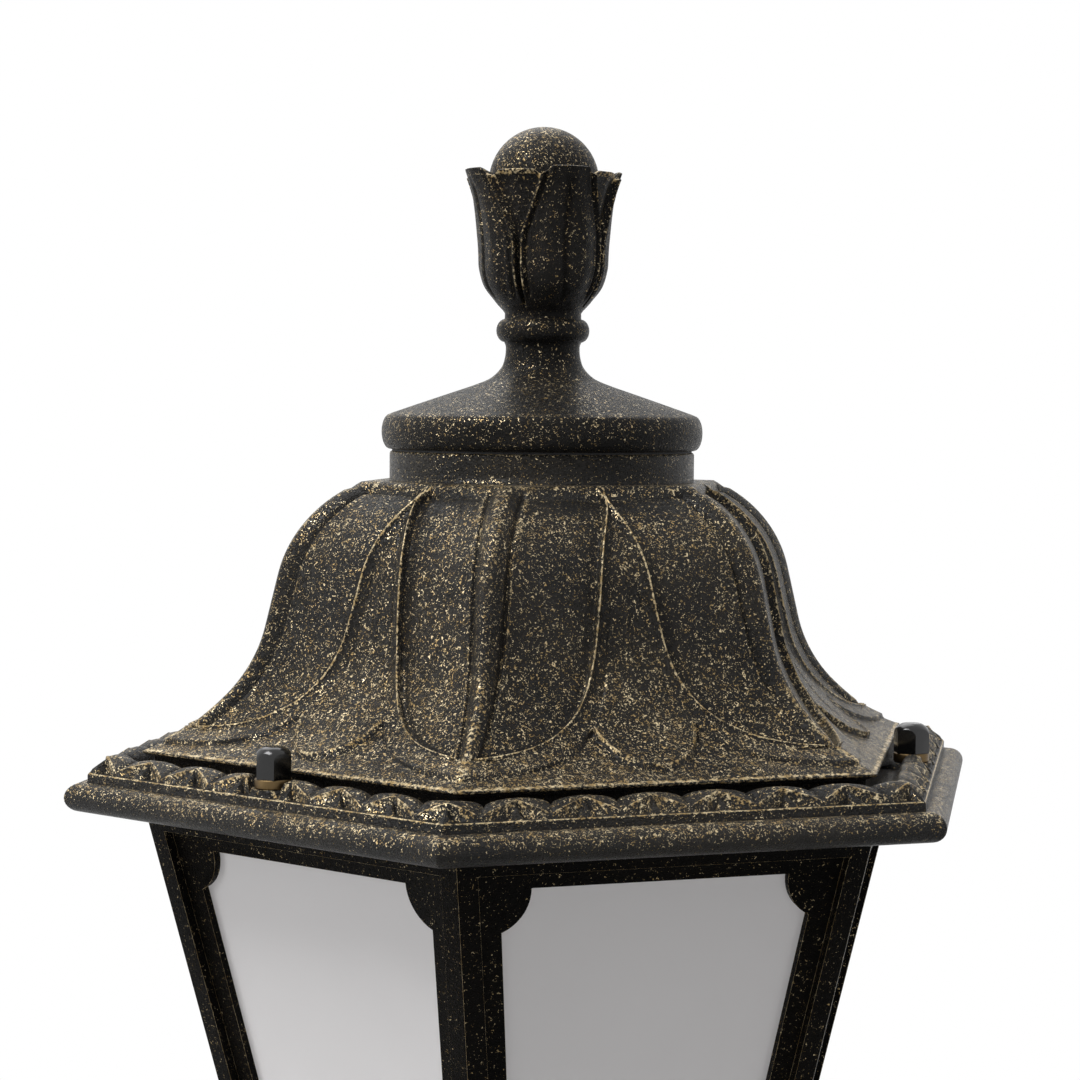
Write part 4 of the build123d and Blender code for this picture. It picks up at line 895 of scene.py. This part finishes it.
def eased(node, name, width, segments=2, limit=28.0):
    """A copy of a CAD node's solid with its edges eased; the eased edges are marked as worn."""
    mesh = frame["nodes"][node].data.copy()
    mesh.name = name
    piece = bpy.data.objects.new(name, mesh)
    bpy.context.scene.collection.objects.link(piece)
    work = bmesh.new()
    work.from_mesh(mesh)
    bmesh.ops.remove_doubles(work, verts=work.verts, dist=2e-6)
    bmesh.ops.dissolve_limit(work, angle_limit=math.radians(0.6), verts=work.verts, edges=work.edges)
    work.to_mesh(mesh)
    work.free()
    mesh.materials.clear()
    mesh.materials.append(FINISHES["cage_casting"])
    mesh.materials.append(FINISHES["cage_casting"])
    for polygon in mesh.polygons:
        polygon.material_index = 0
    bevel = piece.modifiers.new("eased", "BEVEL")
    bevel.width = width * MM
    bevel.segments = segments
    bevel.limit_method = "ANGLE"
    bevel.angle_limit = math.radians(limit)
    bevel.material = 1
    bevel.harden_normals = False
    bevel.use_clamp_overlap = True
    depsgraph = bpy.context.evaluated_depsgraph_get()
    done = bpy.data.meshes.new_from_object(piece.evaluated_get(depsgraph))
    piece.modifiers.clear()
    piece.data = done
    worn = np.array([float(p.material_index == 1) for p in done.polygons], np.float32)
    done.attributes.new("wear_and_shade", "FLOAT", "FACE").data.foreach_set("value", worn)
    for polygon in done.polygons:
        polygon.material_index = 0
    done.shade_smooth()
    done.set_sharp_from_angle(angle=math.radians(35))
    return piece


class LANTERN_OT_cage(bpy.types.Operator):
    """Dress the cage and the post cup as castings with eased, worn edges"""

    bl_idname = "lantern.cage"
    bl_label = "Cage and cup"

    def execute(self, context):
        for node, name, width in (("cage", "cage_frame", 0.45), ("post_cup", "cup_casting", 0.6)):
            piece = eased(node, name, width)
            place(piece, "cage", "cage_casting", FINISHES["cage_casting"], node)
        return {"FINISHED"}


class LANTERN_OT_nuts(bpy.types.Operator):
    """Dress the cap nuts and their ferrules"""

    bl_idname = "lantern.nuts"
    bl_label = "Nuts and ferrules"

    def execute(self, context):
        for k in (1, 2, 3):
            nut = eased(f"cap_nut_{k}", f"nut_crown_{k}", 0.45, 3, 20.0)
            place(nut, f"nut_{k}", "black_nut", FINISHES["black_nut"], f"cap_nut_{k}")
            ferrule = eased(f"nut_washer_{k}", f"ferrule_{k}", 0.5, 3, 30.0)
            place(ferrule, "roof", "bronze_ferrule", FINISHES["bronze_ferrule"], f"nut_washer_{k}")
        return {"FINISHED"}


class LANTERN_OT_finishes(bpy.types.Operator):
    """Make every material of the lantern"""

    bl_idname = "lantern.finishes"
    bl_label = "Materials"

    def execute(self, context):
        scene = context.scene
        casting("roof_casting", scene.lantern_roof_paint)
        # Darker copy of the same lacquer for the cage, the cup and the roof's underside: painted shade
        casting("cage_casting", scene.lantern_cage_paint)
        casting("finial_casting", scene.lantern_finial_paint)
        opal("opal_pane", (0.78, 0.765, 0.77), 0.38, 0.14)
        plain("black_nut", (0.008, 0.008, 0.008), 0.16, grain=150.0, vary=0.3, depth=0.02)
        turned_metal("bronze_ferrule", (0.14, 0.095, 0.045), 0.42)
        turned_metal("zinc_steel", (0.60, 0.61, 0.62), 0.35)
        turned_metal("brass_fittings", (0.70, 0.52, 0.22), 0.3)
        plain("rubber_seal", (0.022, 0.022, 0.023), 0.75, grain=90.0, vary=0.3, depth=0.06)
        plain("frosted_lamp", (0.86, 0.85, 0.82), 0.5, grain=30.0, vary=0.03, depth=0.01)
        plain("holder_ceramic", (0.80, 0.78, 0.73), 0.18, grain=40.0, vary=0.05, depth=0.02)
        plain("terminal_plastic", (0.74, 0.72, 0.66), 0.45, grain=120.0, vary=0.06, depth=0.03)
        return {"FINISHED"}


class LANTERN_OT_small_parts(bpy.types.Operator):
    """Give every carried-over CAD node the finish of its slot"""

    bl_idname = "lantern.small_parts"
    bl_label = "Panes and inner parts"

    def execute(self, context):
        slots = {row["node"]: row["material_slot"] for row in frame["record"]["subparts"]}
        for name, node in frame["nodes"].items():
            if not node.hide_render:
                node.data.materials.clear()
                node.data.materials.append(FINISHES[slots[name]])
        return {"FINISHED"}


# Stage

def lamp(name, power, size, azimuth, elevation, distance):
    """A square soft light that faces the lantern's head."""
    data = bpy.data.lights.new(name, "AREA")
    data.energy = power
    data.size = size
    light = bpy.data.objects.new(name, data)
    bpy.context.scene.collection.objects.link(light)
    a, e = math.radians(azimuth), math.radians(elevation)
    target = Vector((0, 0, EAVES + 0.08))
    spot = target + distance * Vector((math.cos(e) * math.cos(a), math.cos(e) * math.sin(a), math.sin(e)))
    light.location = spot
    light.rotation_euler = (target - spot).to_track_quat("-Z", "Y").to_euler()
    return light


class LANTERN_OT_stage(bpy.types.Operator):
    """Set the camera, the floor, the soft surroundings and the lights"""

    bl_idname = "lantern.stage"
    bl_label = "Stage"

    def execute(self, context):
        look = context.scene.lantern_stage
        scene = context.scene
        scene.view_settings.view_transform = "Standard"
        data = bpy.data.cameras.new("camera")
        data.sensor_fit = "HORIZONTAL"
        data.sensor_width = 36.0
        data.lens = look.lens
        data.shift_x = look.shift
        data.clip_start = 0.02
        data.clip_end = 60.0
        camera = bpy.data.objects.new("camera", data)
        scene.collection.objects.link(camera)
        a, p, r = look.azimuth, look.pitch, look.roll
        right = Vector((math.cos(a), math.sin(a), 0))
        up = Vector((-math.sin(a) * math.sin(p), math.cos(a) * math.sin(p), math.cos(p)))
        side = right * math.cos(r) + up * math.sin(r)
        top = up * math.cos(r) - right * math.sin(r)
        back = side.cross(top)
        basis = Matrix((side, top, back)).transposed().to_4x4()
        away = look.distance * MM
        spot = Vector((away * math.sin(a), -away * math.cos(a), EAVES + look.height * MM))
        camera.matrix_world = Matrix.Translation(spot) @ basis
        scene.camera = camera
        mesh = bpy.data.meshes.new("floor")
        work = bmesh.new()
        bmesh.ops.create_circle(work, cap_ends=True, segments=96, radius=look.floor_radius * MM)
        work.to_mesh(mesh)
        work.free()
        floor = bpy.data.objects.new("floor", mesh)
        scene.collection.objects.link(floor)
        paving = plain("floor", (0.62, 0.62, 0.61), 0.7, grain=4.0, vary=0.02, depth=0.02)
        floor.data.materials.append(paving)
        self.surroundings(look)
        lamp("key", look.key, 0.9, -138.0, 53.0, 1.7)
        lamp("side", look.side, 0.9, -155.0, 8.0, 1.7)
        lamp("fill", look.fill, 0.9, -25.0, 24.0, 1.7)
        lamp("top", look.top, 1.2, 116.0, 50.0, 1.6)
        return {"FINISHED"}

    def surroundings(self, look):
        """White behind the lantern, and soft light that is stronger from above."""
        world = bpy.data.worlds.new("surroundings")
        bpy.context.scene.world = world
        world.use_nodes = True
        tree = world.node_tree
        tree.nodes.clear()
        link = tree.links.new
        direction = tree.nodes.new("ShaderNodeTexCoord").outputs["Generated"]
        parts = tree.nodes.new("ShaderNodeSeparateXYZ")
        link(direction, parts.inputs[0])
        ramp = tree.nodes.new("ShaderNodeMapRange")
        ramp.interpolation_type = "SMOOTHSTEP"
        link(parts.outputs["Z"], ramp.inputs["Value"])
        ramp.inputs["From Min"].default_value = 0.1
        ramp.inputs["From Max"].default_value = 0.95
        ramp.inputs["To Min"].default_value = look.horizon
        ramp.inputs["To Max"].default_value = look.sky
        path = tree.nodes.new("ShaderNodeLightPath")
        seen = path.outputs["Is Camera Ray"]
        for kind in ("Is Glossy Ray", "Is Transmission Ray"):
            either = tree.nodes.new("ShaderNodeMath")
            either.operation = "MAXIMUM"
            link(seen, either.inputs[0])
            link(path.outputs[kind], either.inputs[1])
            seen = either.outputs[0]
        share = tree.nodes.new("ShaderNodeMix")
        link(seen, share.inputs["Factor"])
        link(ramp.outputs["Result"], share.inputs["A"])
        share.inputs["B"].default_value = 1.0
        back = tree.nodes.new("ShaderNodeBackground")
        back.inputs["Color"].default_value = (1.0, 1.0, 1.0, 1.0)
        link(share.outputs["Result"], back.inputs["Strength"])
        out = tree.nodes.new("ShaderNodeOutputWorld")
        link(back.outputs[0], out.inputs["Surface"])


class LANTERN_PT_panel(bpy.types.Panel):
    """Settings of the lantern's looks"""

    bl_idname = "LANTERN_PT_panel"
    bl_label = "Street lantern"
    bl_space_type = "VIEW_3D"
    bl_region_type = "UI"
    bl_category = "Lantern"

    def draw(self, context):
        for title, group in GROUPS.items():
            box = self.layout.box()
            box.label(text=title.replace("lantern_", "").replace("_", " ").capitalize())
            settings = getattr(context.scene, title)
            for key in group.__annotations__:
                box.prop(settings, key)
        for operator in OPERATORS:
            self.layout.operator(operator.bl_idname)


GROUPS = {
    "lantern_stage": LanternStage,
    "lantern_roof_paint": LanternCasting,
    "lantern_cage_paint": LanternCasting,
    "lantern_finial_paint": LanternCasting,
    "lantern_dome": LanternDome,
    "lantern_border": LanternBorder,
    "lantern_finial": LanternFinial,
}
OPERATORS = (
    LANTERN_OT_finishes, LANTERN_OT_stage, LANTERN_OT_roof_dome, LANTERN_OT_roof_border,
    LANTERN_OT_roof_inside, LANTERN_OT_finial, LANTERN_OT_cage, LANTERN_OT_nuts, LANTERN_OT_small_parts,
)
# The cage, the cup and the roof's underside take a darker copy of the roof's lacquer with fewer flecks and
# weaker reflections: painted shade under the eaves
SHADED_CAGE_PAINT = {
    "dark": (0.006, 0.0056, 0.005, 1.0), "light": (0.009, 0.008, 0.007, 1.0), "sheen": 0.03, "flecks": 0.18,
    "flecks_and_light_up": 0.1,
}
# The finial takes a darker copy of the roof's lacquer with fewer flecks: painted shade on the tulip's upright
# fronts
SHADED_FINIAL_PAINT = {
    "dark": (0.007, 0.0066, 0.006, 1.0), "light": (0.014, 0.0125, 0.011, 1.0), "sheen": 0.1, "flecks": 0.42,
    "flecks_and_light_up": 0.3,
}


def register():
    for group in dict.fromkeys(GROUPS.values()):
        bpy.utils.register_class(group)
    for title, group in GROUPS.items():
        setattr(bpy.types.Scene, title, bpy.props.PointerProperty(type=group))
    for operator in OPERATORS:
        bpy.utils.register_class(operator)
    bpy.utils.register_class(LANTERN_PT_panel)


def unregister():
    bpy.utils.unregister_class(LANTERN_PT_panel)
    for operator in reversed(OPERATORS):
        bpy.utils.unregister_class(operator)
    for title in GROUPS:
        delattr(bpy.types.Scene, title)
    for group in reversed(list(dict.fromkeys(GROUPS.values()))):
        bpy.utils.unregister_class(group)


def main():
    """Dress the lantern from start to finish."""
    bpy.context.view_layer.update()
    register()
    scene = bpy.context.scene
    for look, values in ((scene.lantern_cage_paint, SHADED_CAGE_PAINT), (scene.lantern_finial_paint, SHADED_FINIAL_PAINT)):
        for key, value in values.items():
            setattr(look, key, value)
    for operator in OPERATORS:
        getattr(bpy.ops.lantern, operator.bl_idname.removeprefix("lantern."))()


if __name__ == "__main__":
    main()
